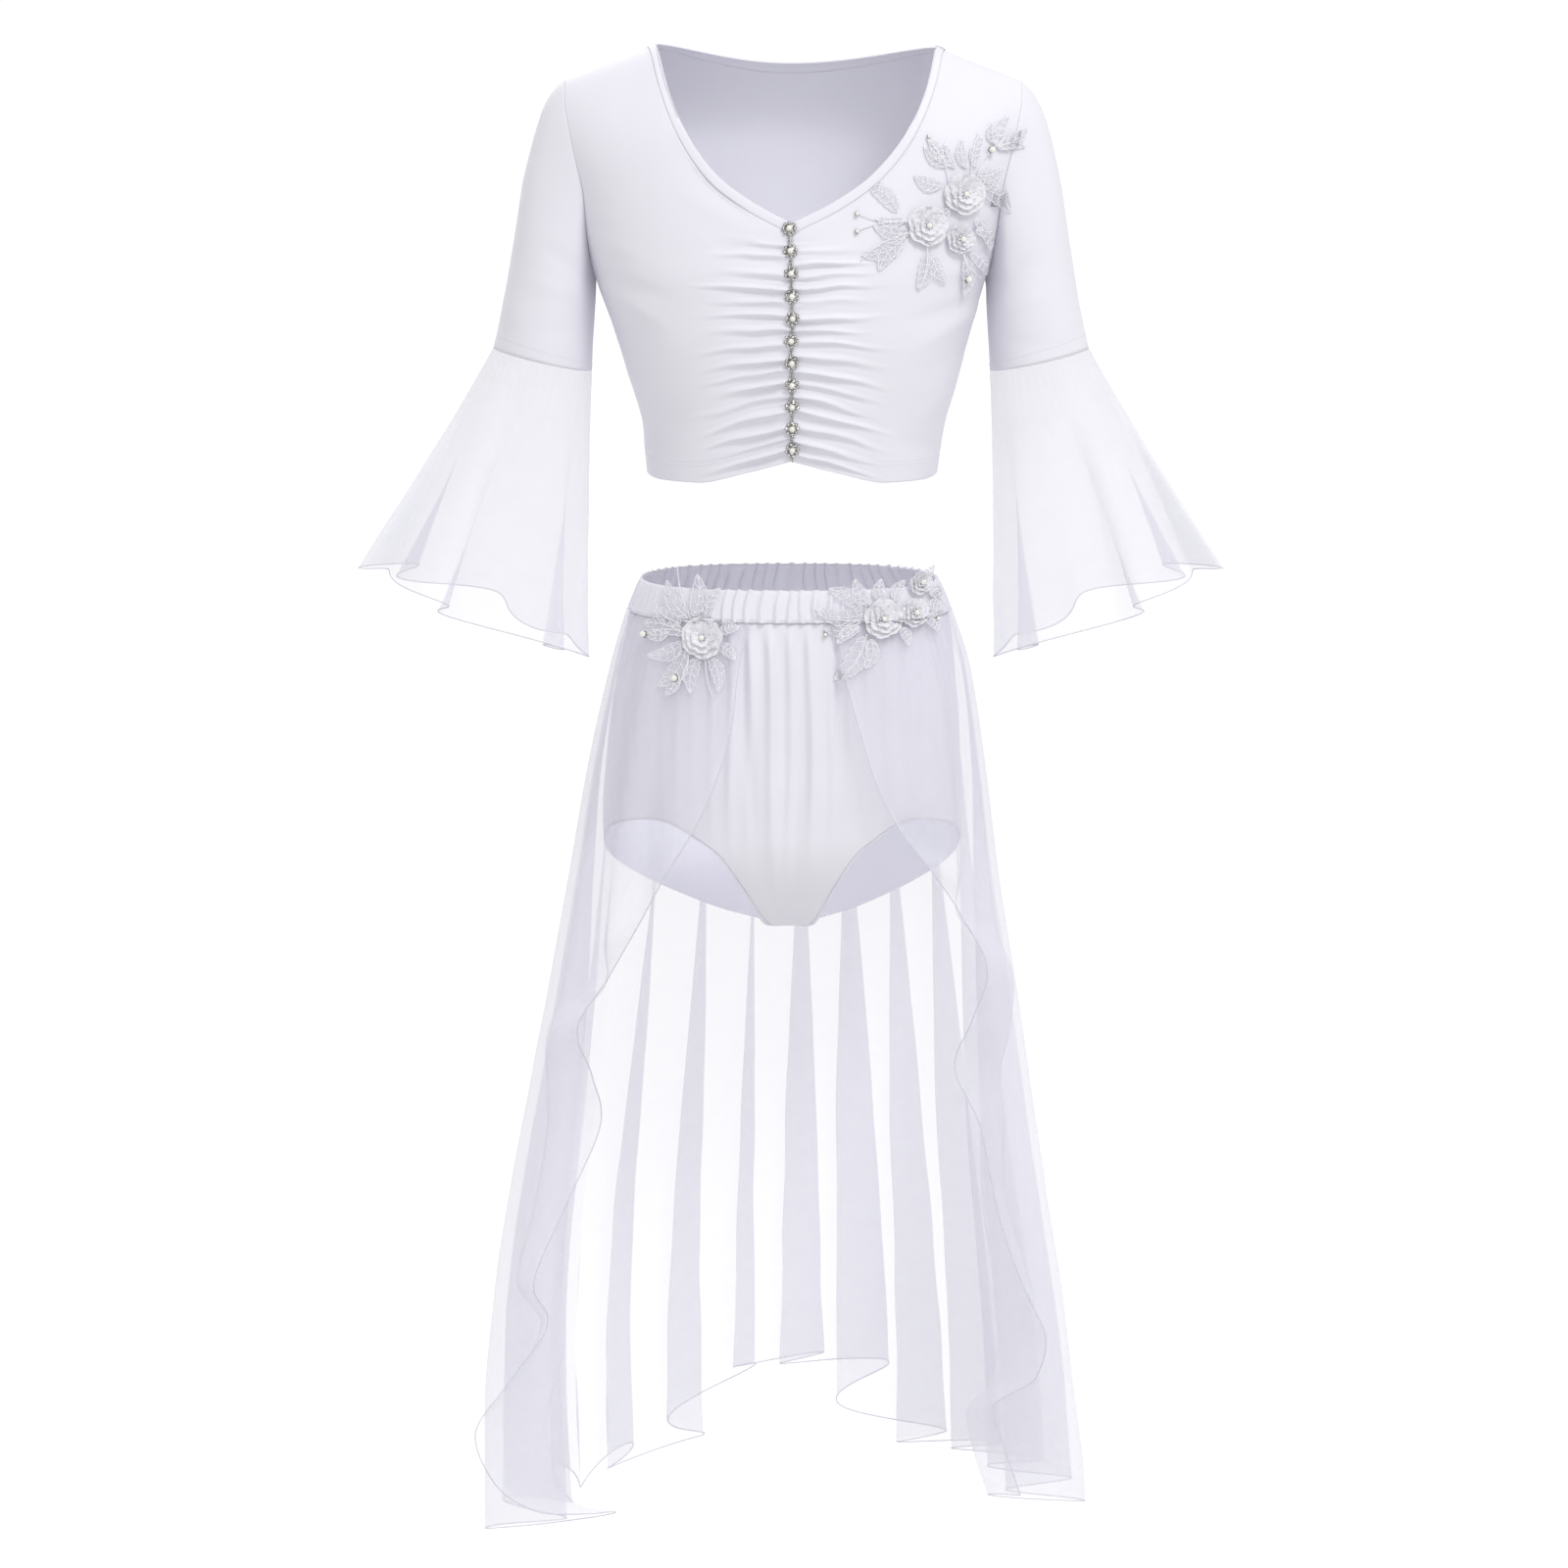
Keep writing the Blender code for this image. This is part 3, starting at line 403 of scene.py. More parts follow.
def creases(lines, x, height):
    """The relief of soft folds, each from one point to another with a depth and a width."""
    total = 0.0
    for x0, z0, x1, z1, depth, width in lines:
        run_x, run_z = x1 - x0, z1 - z0
        t = ((x - x0) * run_x + (height - z0) * run_z) / (run_x**2 + run_z**2)
        if -0.2 < t < 1.2:
            across = ((x - x0) * run_z - (height - z0) * run_x) / math.hypot(run_x, run_z)
            if abs(across) < 3.0 * width:
                fade = smooth(min(t + 0.2, 1.2 - t) / 0.6)
                total += depth * fade * math.exp(-((across / width) ** 2))
    return total


def soft_noise(point, grain, seed=0.0):
    """A slow unevenness between -1 and 1."""
    return noise.noise(Vector((point.x / grain + seed, point.y / grain, point.z / grain)))


FRONT_CREASES = (
    (158, -196, 96, -214, -1.3, 7), (156, -206, 100, -236, 1.1, 6), (150, -230, 104, -262, -0.8, 8),
    (168, -166, 118, -178, 0.9, 6), (138, -268, 100, -300, 0.7, 9), (126, -322, 84, -312, -0.7, 8),
    (30, -150, 90, -104, -0.6, 9), (24, -160, 84, -132, 0.6, 8), (118, -28, 150, -66, -0.6, 9),
)


def ruching(x, height, seed):
    """The gathers beside the centre seam: ridges of uneven length that fan out towards the hem,
    with finer ones between them close to the seam."""
    above_hem = height - FRONT_HEM["height"][0]
    fan = mix(-0.30, 0.05, smooth(above_hem / 150.0))
    climb = (above_hem - fan * x) / RUCHED_LENGTH
    if not 0.0 < climb < 1.0:
        return 0.0
    fold = climb * RUCHES + 0.6 * noise.noise(Vector((climb * 5.0, 2.0 + seed, 0.0)))
    reach = RUCH_REACH + 36.0 * noise.noise(Vector((fold * 1.1, seed, 0.0)))
    deep = 0.9 + 1.1 * noise.noise(Vector((fold * 0.9, 7.0 + seed, 0.0)))
    deep *= mix(1.25, 0.75, climb) * mix(0.4, 1.0, smooth(x / 10.0))
    fade = smooth(1.25 - x / reach) * smooth(climb / 0.04) * smooth((1.0 - climb) / 0.08)
    wander = 1.5 * noise.noise(Vector((x / 34.0, fold * 0.6, seed)))
    turn = 2 * math.pi * fold + 0.4 * math.sin(x / 16.0 + seed) + wander
    main = math.cos(turn) + 0.45 * math.cos(2.0 * turn + 0.6)
    fine = math.cos(2.35 * turn + seed) * smooth(1.0 - x / (0.5 * reach))
    return fade * (RUCH_DEPTH * deep * main + FINE_RUCH_DEPTH * fine)


def lay_cloth(name, surface, columns, rows, shade, core=(0.0, 0.0), relief=None, thickness=0.0,
              scale=(300.0, 300.0), first=0.0, last=1.0):
    """A sheet of cloth: a grid laid on a surface of u and v, turned to face away from a core line,
    and pushed along its own normals by a relief. Its UV map is in metres along and across."""
    sheet = bmesh.new()
    bmesh.ops.create_grid(sheet, x_segments=columns, y_segments=rows, size=0.5)
    spots = sheet.verts.layers.float_vector.new("spot")
    for vertex in sheet.verts:
        u, v = vertex.co.x + 0.5, mix(first, last, vertex.co.y + 0.5)
        vertex[spots] = (u, v, 0.0)
        vertex.co = surface(u, v) * MM
    laid = sheet.loops.layers.uv.new("cloth")
    for face in sheet.faces:
        for loop in face.loops:
            spot = loop.vert[spots]
            loop[laid].uv = (spot.x * scale[0] * MM, spot.y * scale[1] * MM)
    bmesh.ops.remove_doubles(sheet, verts=sheet.verts[:], dist=1e-6)
    sheet.normal_update()
    out = sum((face.calc_center_median().x - core[0] * MM) * face.normal.x * face.calc_area()
              + (face.calc_center_median().y - core[1] * MM) * face.normal.y * face.calc_area()
              for face in sheet.faces)
    if out < 0.0:
        bmesh.ops.reverse_faces(sheet, faces=sheet.faces[:])
        sheet.normal_update()
    if relief:
        moves = [(vertex, relief(vertex[spots].x, vertex[spots].y, vertex.co / MM) * MM)
                 for vertex in sheet.verts]
        normals = [vertex.normal.copy() for vertex in sheet.verts]
        for (vertex, move), normal in zip(moves, normals):
            vertex.co += normal * move
    piece = made_of(name, sheet, shade)
    piece.data.shade_smooth()
    if thickness:
        shell = piece.modifiers.new("cloth thickness", "SOLIDIFY")
        shell.thickness = thickness * MM
        shell.offset = -1.0
    return piece


# Stretch knit of nylon and elastane, heat-set smooth: a near-white with a cool cast, a soft low
# sheen, and columns of stitches drawn at 1 mm, twice their real width, so that they show.
STITCH_COLUMN = 1.0 * MM
SMOOTH_KNIT, knit = finish_material("nylon and elastane smooth knit")
place = node(SMOOTH_KNIT, "ShaderNodeUVMap", {"uv_map": "cloth"})
columns_of_stitches = node(SMOOTH_KNIT, "ShaderNodeTexWave", {"bands_direction": "X"},
                           Vector=(place, "UV"), Scale=0.5 / STITCH_COLUMN, Distortion=0.6,
                           Detail_Scale=40.0)
grain = node(SMOOTH_KNIT, "ShaderNodeTexNoise", Vector=(place, "UV"), Scale=900.0, Detail=3.0)
tone = node(SMOOTH_KNIT, "ShaderNodeTexNoise", Vector=(place, "UV"), Scale=14.0, Detail=2.0)
tint = node(SMOOTH_KNIT, "ShaderNodeValToRGB", Fac=(tone, "Fac"))
tint.color_ramp.elements[0].color = linear("#e5e4ec")
tint.color_ramp.elements[1].color = linear("#eae9f1")
ribbed = node(SMOOTH_KNIT, "ShaderNodeBump", Strength=0.12, Distance=0.0003,
              Height=(columns_of_stitches, "Fac"))
fuzzed = node(SMOOTH_KNIT, "ShaderNodeBump", Strength=0.1, Distance=0.0003, Height=(grain, "Fac"),
              Normal=(ribbed, "Normal"))
connect(SMOOTH_KNIT, knit, Base_Color=(tint, "Color"), Roughness=0.55, Specular_IOR_Level=0.35,
        Sheen_Weight=0.12, Sheen_Roughness=0.4, Normal=(fuzzed, "Normal"))

for half, sign in SIDES:
    def front_relief(u, v, point, seed=sign * 3.1):
        return (ruching(abs(point.x), point.z, seed)
                + creases(FRONT_CREASES, abs(point.x), point.z + 3.0 * seed)
                + 0.35 * soft_noise(point, 60.0, seed))

    front = lay_cloth("front_" + half + "_cloth", front_half(half), 84, 220, SMOOTH_KNIT,
                      relief=front_relief, thickness=KNIT_THICK, scale=(190.0, 350.0),
                      first=0.0, last=0.9994)
    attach(front, "root")
    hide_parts("top_front_" + half)

# Thread rows on the top's front: a twin-needle row holds up the hem. Spun polyester, with a soft
# gleam on its twist.
THREAD = 0.24
TWIN_ROWS = (14.0, 17.5)
SEWING_THREAD, thread = finish_material("polyester sewing thread")
twisted = node(SEWING_THREAD, "ShaderNodeTexCoord")
plies = node(SEWING_THREAD, "ShaderNodeTexNoise", Vector=(twisted, "Object"), Scale=2600.0)
plied = node(SEWING_THREAD, "ShaderNodeBump", Strength=0.3, Distance=0.0002, Height=(plies, "Fac"))
connect(SEWING_THREAD, thread, Base_Color=linear("#ecebf2"), Roughness=0.5,
        Normal=(plied, "Normal"))


def raised(surface, relief, core=(0.0, 0.0)):
    """The cloth's outer face as a function of u, v and a lift above it."""
    def point(u, v, lift=0.0):
        here = surface(u, v)
        step_u = 0.002 if u < 0.9 else -0.002
        step_v = 0.002 if v < 0.9 else -0.002
        outward = (surface(u + step_u, v) - here).cross(surface(u, v + step_v) - here).normalized()
        if outward.x * (here.x - core[0]) + outward.y * (here.y - core[1]) < 0.0:
            outward = -outward
        return here + outward * (relief(u, v, here) + lift)
    return point


def cords(name, lines, radius, shade, rides_with, closed=False):
    """Thin cords of thread along lines of points, as one curve that goes with its cloth."""
    laid = bpy.data.curves.new(name, "CURVE")
    laid.dimensions = "3D"
    for points in lines:
        spline = laid.splines.new("POLY")
        spline.points.add(len(points) - 1)
        for knot, point in zip(spline.points, points):
            knot.co = (*(point * MM), 1.0)
            knot.radius = radius * MM
        spline.use_cyclic_u = closed
    laid.bevel_depth = 1.0
    laid.bevel_resolution = 1
    laid.use_fill_caps = True
    laid.materials.append(shade)
    made = bpy.data.objects.new(name, laid)
    scene.collection.objects.link(made)
    made.parent = rides_with
    return made


def stitches(path, length=2.5, gap=1.0, fine=600):
    """Straight stitches along a path of 0 to 1: each a pair of points a stitch apart."""
    trail = [path(i / fine) for i in range(fine + 1)]
    rows, covered, start = [], 0.0, trail[0]
    for before, after in zip(trail, trail[1:]):
        covered += (after - before).length
        if start is not None and covered >= length:
            rows.append([start, after])
            start, covered = None, 0.0
        elif start is None and covered >= gap:
            start, covered = after, 0.0
    return rows


for half, sign in SIDES:
    face_of_front = raised(front_half(half), functools.partial(front_relief, seed=sign * 3.1))
    rows = []
    for above in TWIN_ROWS:
        rows += stitches(lambda t, above=above: face_of_front(
            mix(0.004, 0.996, t), BODY_SHARE * above / mix(RUCHED_LENGTH, 158.0, t), 0.12))
    cords("front_" + half + "_hem_stitches", rows, THREAD, SEWING_THREAD,
          bpy.data.objects["front_" + half + "_cloth"])

# The knit back: one panel from hem to neck, cut on the fold, plain but for a hem and soft drag
# lines towards the armholes.
BACK_NECK_DROP = 15.5
JUST_BELOW = -3.0
SHOULDER_SHARE = 0.17


def back_neck(x, width=0.0):
    """The height of the back neck opening, or of the line a width below it."""
    side = "right" if x > 0.0 else "left"
    reach = neck_seam(side, 1.0, width)[0] if width else NECKLINE[side][-1]
    end = shoulder_line(on_front(NECK_END, math.copysign(reach, x)))
    share = min(abs(x) / reach, 1.0)
    return end - (BACK_NECK_DROP + width + end) * (1.0 - share**2) ** 1.5


def neck_ends():
    """The angles at which the neck seam crosses the shoulder line, at the right and left."""
    right = neck_seam("right", 1.0)
    left = neck_seam("left", 1.0)
    return 180.0 - on_front(right[1], right[0]), 180.0 + on_front(left[1], left[0])


def back_panel():
    """The surface of the back; u runs from the right side seam to the left one, v rises."""
    start, end = neck_ends()
    share = SHOULDER_SHARE

    @functools.lru_cache(maxsize=None)
    def side_edge(side, v):
        if v < BODY_SHARE:
            angle, height = 90.0, mix(FRONT_HEM["height"][-1], UNDERARM, v / BODY_SHARE)
        else:
            angle, height = armhole(side, upper(v), "back")
        return (angle if side == "right" else 360.0 - angle), height

    def hem(u):
        return mix(90.0, 270.0, u), FRONT_HEM["height"][-1]

    @functools.lru_cache(maxsize=None)
    def top(u):
        tip = ARMHOLE["back"][-1]
        if u < share:
            angle = mix(tip, start, u / share)
            return angle, shoulder_line(angle)
        if u > 1.0 - share:
            angle = mix(end, 360.0 - tip, (u - 1.0 + share) / share)
            return angle, shoulder_line(angle)
        angle = mix(start, end, (u - share) / (1.0 - 2.0 * share))
        return angle, back_neck(torso(angle, JUST_BELOW).x, BINDING_WIDTH)

    inside = patch(hem, top, lambda v: side_edge("right", v), lambda v: side_edge("left", v))

    def surface(u, v):
        angle, height = inside(u, v)
        point = torso(angle, height)
        point.y += SEAM_EASE
        return point
    return surface


BACK_CREASES = (
    (160, -190, 84, -160, -1.2, 8), (158, -200, 92, -196, 1.0, 7), (152, -214, 96, -236, -0.9, 8),
    (176, -140, 120, -112, 0.8, 8), (132, -300, 60, -286, -0.7, 10), (130, -330, 70, -336, 0.7, 8),
    (20, -60, 60, -120, -0.5, 12),
)


def back_relief(u, v, point):
    return (creases(BACK_CREASES, abs(point.x) + 4.0 * math.sin(point.x), point.z)
            + 0.45 * soft_noise(point, 70.0, 9.0))


back = lay_cloth("back_cloth", back_panel(), 140, 90, SMOOTH_KNIT, relief=back_relief,
                 thickness=KNIT_THICK, scale=(450.0, 350.0), first=0.0, last=0.9994)
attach(back, "root")
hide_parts("top_back")


# The neck binding: a strip of the same knit folded over the raw neck edge, mitred at the V, and
# held by a row of stitches beside it.
BINDING_CROWN = 0.6
FRONT_SHARE = 0.3
FINE_THREAD = 0.2


def neck_line(u, width):
    """A point at a width from the neck opening; u goes round from the V by the right side."""
    if min(u, 1.0 - u) < FRONT_SHARE:
        side, sign = ("right", 1.0) if u < 0.5 else ("left", -1.0)
        rise = math.sin(min(u, 1.0 - u) / FRONT_SHARE * math.pi / 2)
        x, height = neck_seam(side, rise, width) if width else neck_opening(side, rise)
        angle = on_front(height, sign * x)
    else:
        start, end = neck_ends()
        along = (u - FRONT_SHARE) / (1.0 - 2.0 * FRONT_SHARE)
        seam_x = torso(mix(start, end, along), JUST_BELOW).x
        side = "right" if seam_x > 0.0 else "left"
        reach = neck_seam(side, 1.0, width)[0] if width else NECKLINE[side][-1]
        x = seam_x / neck_seam(side, 1.0)[0] * reach
        height = back_neck(x, width)
        angle = 180.0 - on_front(height, x)
    point = torso(angle, height)
    return point, facing(torso, angle, point.z)


def binding(u, v):
    """The folded binding's face, crowned between its fold and its seam."""
    point, outward = neck_line(u, (BINDING_WIDTH - 0.1) * v)
    crown = BINDING_CROWN * math.sin(math.pi * min(max(v, 0.04), 0.96)) ** 0.5
    return point + outward * (0.25 + crown)


neck_binding = lay_cloth("neck_binding_cloth", binding, 300, 8, SMOOTH_KNIT, thickness=1.3,
                         scale=(700.0, 8.0))
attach(neck_binding, "root")
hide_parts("neck_binding")


def beside_binding(t):
    """A point of the stitch row that runs just outside the binding."""
    point, outward = neck_line(mix(0.012, 0.988, t), BINDING_WIDTH + 2.2)
    return point + outward * 0.1


cords("neck_stitches", stitches(beside_binding, fine=1500), FINE_THREAD, SEWING_THREAD,
      neck_binding)

# The sleeves: one piece each, of the same knit, set into the armhole and ending at the elbow.
ARMHOLE_GAP = 0.2
CUFF_ROW = 0.955
CUFF = {"centre": (207.5, 0.0, -259.4), "across": (41.2, 0.0, 9.4), "deep": 45.0}


def seam_loop(side, share):
    """The armhole seam; share goes round from the shoulder by the front and the underarm."""
    sign = 1.0 if side == "right" else -1.0
    t = abs(1.0 - 2.0 * share)
    face = "front" if share < 0.5 else "back"
    rise = math.sin(t * math.pi / 2)
    angle, height = armhole(side, rise, face)
    return torso(sign * angle, height) + Vector((sign * ARMHOLE_GAP, 0.0, 0.0))


def cuff_ring(side, share, size=CUFF):
    """A tilted ring round the arm; share 0 is its outer side and a quarter is its front."""
    sign = 1.0 if side == "right" else -1.0
    turn = 2 * math.pi * share
    centre = Vector((sign * size["centre"][0], size["centre"][1], size["centre"][2]))
    across = Vector((sign * size["across"][0], size["across"][1], size["across"][2]))
    return centre + across * math.cos(turn) + Vector((0.0, -size["deep"] * math.sin(turn), 0.0))


def sleeve(side):
    """The sleeve's surface; u goes round and v runs down from the armhole."""
    sign = 1.0 if side == "right" else -1.0

    def surface(u, v):
        outer = (1.0 + math.cos(2 * math.pi * u)) / 2
        start = seam_loop(side, u % 1.0)
        end = cuff_ring(side, u)
        chord = (end - start).length
        away = 0.05 + 0.77 * outer
        leave = Vector((sign * away, 0.0, -math.sqrt(1.0 - away**2)))
        arrive = Vector((sign * mix(0.06, 0.26, outer), 0.0, -1.0)).normalized()
        a, b = start + leave * chord * 0.2, end - arrive * chord * 0.42
        w = 1.0 - v
        return start * w**3 + a * 3 * w**2 * v + b * 3 * w * v**2 + end * v**3
    return surface


SLEEVE_CREASES = (
    (166, -196, 206, -168, -1.0, 7), (168, -212, 214, -198, 0.9, 7),
    (172, -236, 214, -240, -0.8, 8), (240, -214, 214, -236, 0.7, 9),
    (206, -60, 226, -110, -0.6, 12),
)
for half, sign in SIDES:
    def sleeve_relief(u, v, point, seed=sign * 5.3):
        edge = smooth(v / 0.12) * smooth((1.0 - v) / 0.05)
        return edge * (creases(SLEEVE_CREASES, abs(point.x), point.z + seed)
                       + 0.5 * soft_noise(point, 45.0, seed))

    arm = lay_cloth("sleeve_" + half + "_cloth", sleeve(half), 84, 72, SMOOTH_KNIT,
                    core=(sign * 205.0, 0.0), relief=sleeve_relief, thickness=KNIT_THICK,
                    scale=(270.0, 200.0), last=0.999)
    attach(arm, "root")
    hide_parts("sleeve_" + half)
    face_of_sleeve = raised(sleeve(half), sleeve_relief, (sign * 205.0, 0.0))
    row = stitches(lambda t: face_of_sleeve(mix(0.002, 0.998, t), CUFF_ROW, 0.15))
    cords("sleeve_" + half + "_cuff_stitches", row, THREAD, SEWING_THREAD, arm)

# The bells: a flared ring of chiffon gathered lightly onto each cuff, falling in soft lobes to a
# narrow rolled hem.
BELL_HEM = {"centre": (264.0, 0.0, -469.0), "across": (85.0, 0.0, 36.0), "deep": 68.0}
CUFF_GATHERS = 46
BELL_LOBES = 6
BELL_WAVE = 13.0
BELL_LEAN = 2.2


def bell(side):
    """The bell's surface, falling from the cuff in lobes that open towards the hem."""
    sign = 1.0 if side == "right" else -1.0

    def surface(u, v):
        top = cuff_ring(side, u)
        low = cuff_ring(side, u, BELL_HEM)
        middle = Vector(BELL_HEM["centre"])
        middle.x *= sign
        turn = 2 * math.pi * u
        outward = (low - middle).normalized()
        sideways = Vector((outward.y, -outward.x, 0.0)) * sign
        phase = BELL_LOBES * turn + 0.5 * math.sin(2 * turn + 0.6)
        depth = BELL_WAVE * v**1.4 * (0.8 + 0.35 * math.sin(turn + 0.8))
        point = top.lerp(low, v) + outward * depth * math.cos(phase)
        point += sideways * depth * BELL_LEAN * math.cos(phase)
        point.z -= 4.0 * v * math.cos(phase)
        return point
    return surface


# Polyester chiffon, plain-woven from fine twisted yarn: it lets about half of the light through,
# so that single cloth nearly vanishes on white and each fold behind it reads as a greyer band.
SHEER_CHIFFON, sheer = finish_material("polyester chiffon, plain weave")
spread_out = node(SHEER_CHIFFON, "ShaderNodeUVMap", {"uv_map": "cloth"})
yarns = node(SHEER_CHIFFON, "ShaderNodeTexNoise", Vector=(spread_out, "UV"), Scale=700.0,
             Detail=2.0)
crepe = node(SHEER_CHIFFON, "ShaderNodeTexNoise", Vector=(spread_out, "UV"), Scale=60.0, Detail=3.0)
milk = node(SHEER_CHIFFON, "ShaderNodeValToRGB", Fac=(crepe, "Fac"))
milk.color_ramp.elements[0].color = linear("#ebeaf5")
milk.color_ramp.elements[1].color = linear("#f3f2fc")
woven = node(SHEER_CHIFFON, "ShaderNodeBump", Strength=0.15, Distance=0.0003, Height=(yarns, "Fac"))
connect(SHEER_CHIFFON, sheer, Base_Color=(milk, "Color"), Roughness=0.8, Specular_IOR_Level=0.15,
        Alpha=0.36, Normal=(woven, "Normal"))

# The same chiffon rolled tight and sewn, several layers deep. Its colour is set greyer than the
# chiffon's, painted shade for the dull grey line that the stacked layers show.
HEM_ROLL = 0.5
ROLLED_EDGE, roll = finish_material("polyester chiffon, rolled and stitched edge")
# painted shade: a greyer colour than the chiffon's own
connect(ROLLED_EDGE, roll, Base_Color=linear("#dad9e3"), Roughness=0.7, Specular_IOR_Level=0.2)

for half, sign in SIDES:
    fall = bell(half)

    def bell_relief(u, v, point, seed=sign * 2.7):
        turn = 2 * math.pi * CUFF_GATHERS * u + 2.0 * math.sin(9.0 * u)
        gathers = 0.22 * math.cos(turn) * (1.0 - v) ** 6
        return gathers * smooth(v / 0.03) + 1.2 * v * soft_noise(point, 40.0, seed)

    flounce = lay_cloth("bell_" + half + "_cloth", fall, 240, 50, SHEER_CHIFFON,
                        core=(sign * 225.0, 0.0), relief=bell_relief, scale=(560.0, 210.0),
                        first=0.002)
    face_of_bell = raised(fall, bell_relief, (sign * 225.0, 0.0))
    hem = cords("bell_" + half + "_hem", [[face_of_bell(i / 240, 1.0) for i in range(240)]],
                HEM_ROLL, ROLLED_EDGE, flounce, closed=True)
    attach(flounce, "root")
    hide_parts("bell_" + half)

# The briefs: a front and a back of the same knit, cut high at the leg, with an elastic turned
# into each leg edge and zigzag-stitched, and soft gathers hanging from the waist at the front.
CROTCH = -741.0
CROTCH_ROUND = 95.0
BAND_TOP = -442.0
BAND_BOTTOM = -468.5
BRIEF_TOP = -468.8
BRIEF_LEG = 0.55
HIPS = table("height left right front back", (
    (-745, 146, 130, 92, 110),
    (-690, 157, 140, 97, 118),
    (-650, 160, 145, 101, 127),
    (-600, 157, 144, 105, 125),
    (-520, 146, 139, 104, 110),
    (-468, 135.2, 132.5, 96.8, 96.8),
))
LEG_FRONT = table("angle height centre", (
    (7, -741, -741),
    (9, -733, -737),
    (16, -690, -718),
    (26, -656, -672),
    (45, -636, -628),
    (66, -645, -598),
    (90, -672, -572),
))
LEG_BACK = table("angle height centre", (
    (7, -741, -741), (22, -736, -731), (43, -722, -710), (66, -700, -680), (90, -672, -640),
))


def hips(angle, height):
    """The form of the briefs, closed under at the crotch."""
    return ring(HIPS, angle, height, rounded(height - CROTCH, CROTCH_ROUND))


def brief_panel(face):
    """The surface of the front or back of the briefs; v rises from the crotch."""
    leg = LEG_FRONT if face == "front" else LEG_BACK

    @functools.lru_cache(maxsize=None)
    def row(v):
        rise = min(v / BRIEF_LEG, 1.0)
        angle = mix(leg["angle"][0], 90.0, rise**1.4)
        edge, centre = (read(leg, "angle", name, angle) for name in ("height", "centre"))
        above = max(0.0, (v - BRIEF_LEG) / (1.0 - BRIEF_LEG))
        return angle, mix(edge, BRIEF_TOP, above), mix(centre, BRIEF_TOP, above)

    def surface(u, v):
        across = 2.0 * u - 1.0
        edge_angle, edge_height, centre_height = row(v)
        angle = across * edge_angle
        height = max(mix(centre_height, edge_height, across**2), CROTCH + 0.02)
        return hips(angle if face == "front" else 180.0 + angle, height)
    return surface


BRIEF_CREASES = (
    (8, -742, 34, -700, 0.9, 4), (-8, -742, -32, -702, 0.9, 4), (16, -738, 60, -668, -0.9, 6),
    (-16, -738, -60, -668, -0.9, 6), (4, -741, 16, -690, -0.7, 4), (-6, -741, -18, -694, -0.7, 4),
    (128, -612, 70, -640, 0.8, 9), (-130, -612, -72, -640, 0.8, 9), (20, -560, 26, -640, 0.6, 7),
    (-20, -476, -13, -700, 2.2, 5), (7, -478, 3, -690, -2.0, 5), (24, -478, 17, -650, 2.0, 5),
    (46, -486, 30, -660, -1.8, 6), (-44, -480, -30, -650, -1.8, 6), (66, -500, 52, -610, 1.0, 7),
)


GATHER_DEPTH = 2.3


def brief_gathers(angle, height, share=1.0):
    """Soft gathers that hang from the waistband at the centre, uneven in length and depth."""
    drop = (BRIEF_TOP - height) / 190.0
    near = mix(0.25, 1.0, smooth(1.2 - abs(angle) / 46.0))
    uneven = 0.8 + 1.1 * noise.noise(Vector((angle / 7.0, height / 110.0, 4.0)))
    wander = 0.35 * math.sin(height / 40.0 + angle / 15.0)
    rows = math.cos(math.radians(angle * 56.0) + 1.6 * wander)
    fine = math.cos(math.radians(angle * 131.0) + 2.0 * wander) * smooth(1.0 - 1.9 * drop)
    sharp = rows + 0.3 * math.cos(2.0 * math.radians(angle * 56.0) + 3.2 * wander + 0.5)
    hung = share * near * smooth(drop * 8.0) * smooth(1.2 - drop)
    return hung * (GATHER_DEPTH * uneven * sharp + 0.5 * fine)


for face in ("front", "back"):
    def brief_relief(u, v, point, face=face):
        angle = math.degrees(math.asin(max(-1.0, min(1.0, point.x / 150.0))))
        pleats = brief_gathers(angle, point.z, 1.0 if face == "front" else 0.45)
        rim = 0.5 * smooth(v / 0.02) if v < BRIEF_LEG else 0.5
        near_edge = smooth((1.0 - abs(2.0 * u - 1.0)) / 0.06) if v < BRIEF_LEG else 1.0
        return near_edge * (pleats + creases(BRIEF_CREASES, point.x, point.z)
                            + rim * soft_noise(point, 38.0, 21.0))

    brief = lay_cloth("brief_" + face + "_cloth", brief_panel(face), 220, 100, SMOOTH_KNIT,
                      relief=brief_relief, thickness=KNIT_THICK, scale=(300.0, 290.0), first=0.004)
    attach(brief, "root")
    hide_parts("brief_" + face)

# A zigzag row runs just inside each leg edge of the briefs and holds the turned elastic.
STOUT_THREAD = 0.26
ZIGZAG_POINTS = 170
ZIGZAG_INSET = 6.0
ZIGZAG_HALF = 1.1
for face in ("front", "back"):
    panel_form = brief_panel(face)
    face_of_brief = raised(panel_form, functools.partial(brief_relief, face=face))
    rows = []
    for edge_side in (0.0, 1.0):
        zigzag = []
        for i in range(ZIGZAG_POINTS + 1):
            v = BRIEF_LEG * (0.03 + 0.95 * i / ZIGZAG_POINTS)
            wide = 2.0 * (panel_form(edge_side, v) - panel_form(0.5, v)).length
            inset = (ZIGZAG_INSET + (ZIGZAG_HALF if i % 2 else -ZIGZAG_HALF)) / max(wide, 20.0)
            zigzag.append(face_of_brief(abs(edge_side - inset), v, 0.15))
        rows.append(zigzag)
    cords("brief_" + face + "_leg_stitches", rows, STOUT_THREAD, SEWING_THREAD,
          bpy.data.objects["brief_" + face + "_cloth"])

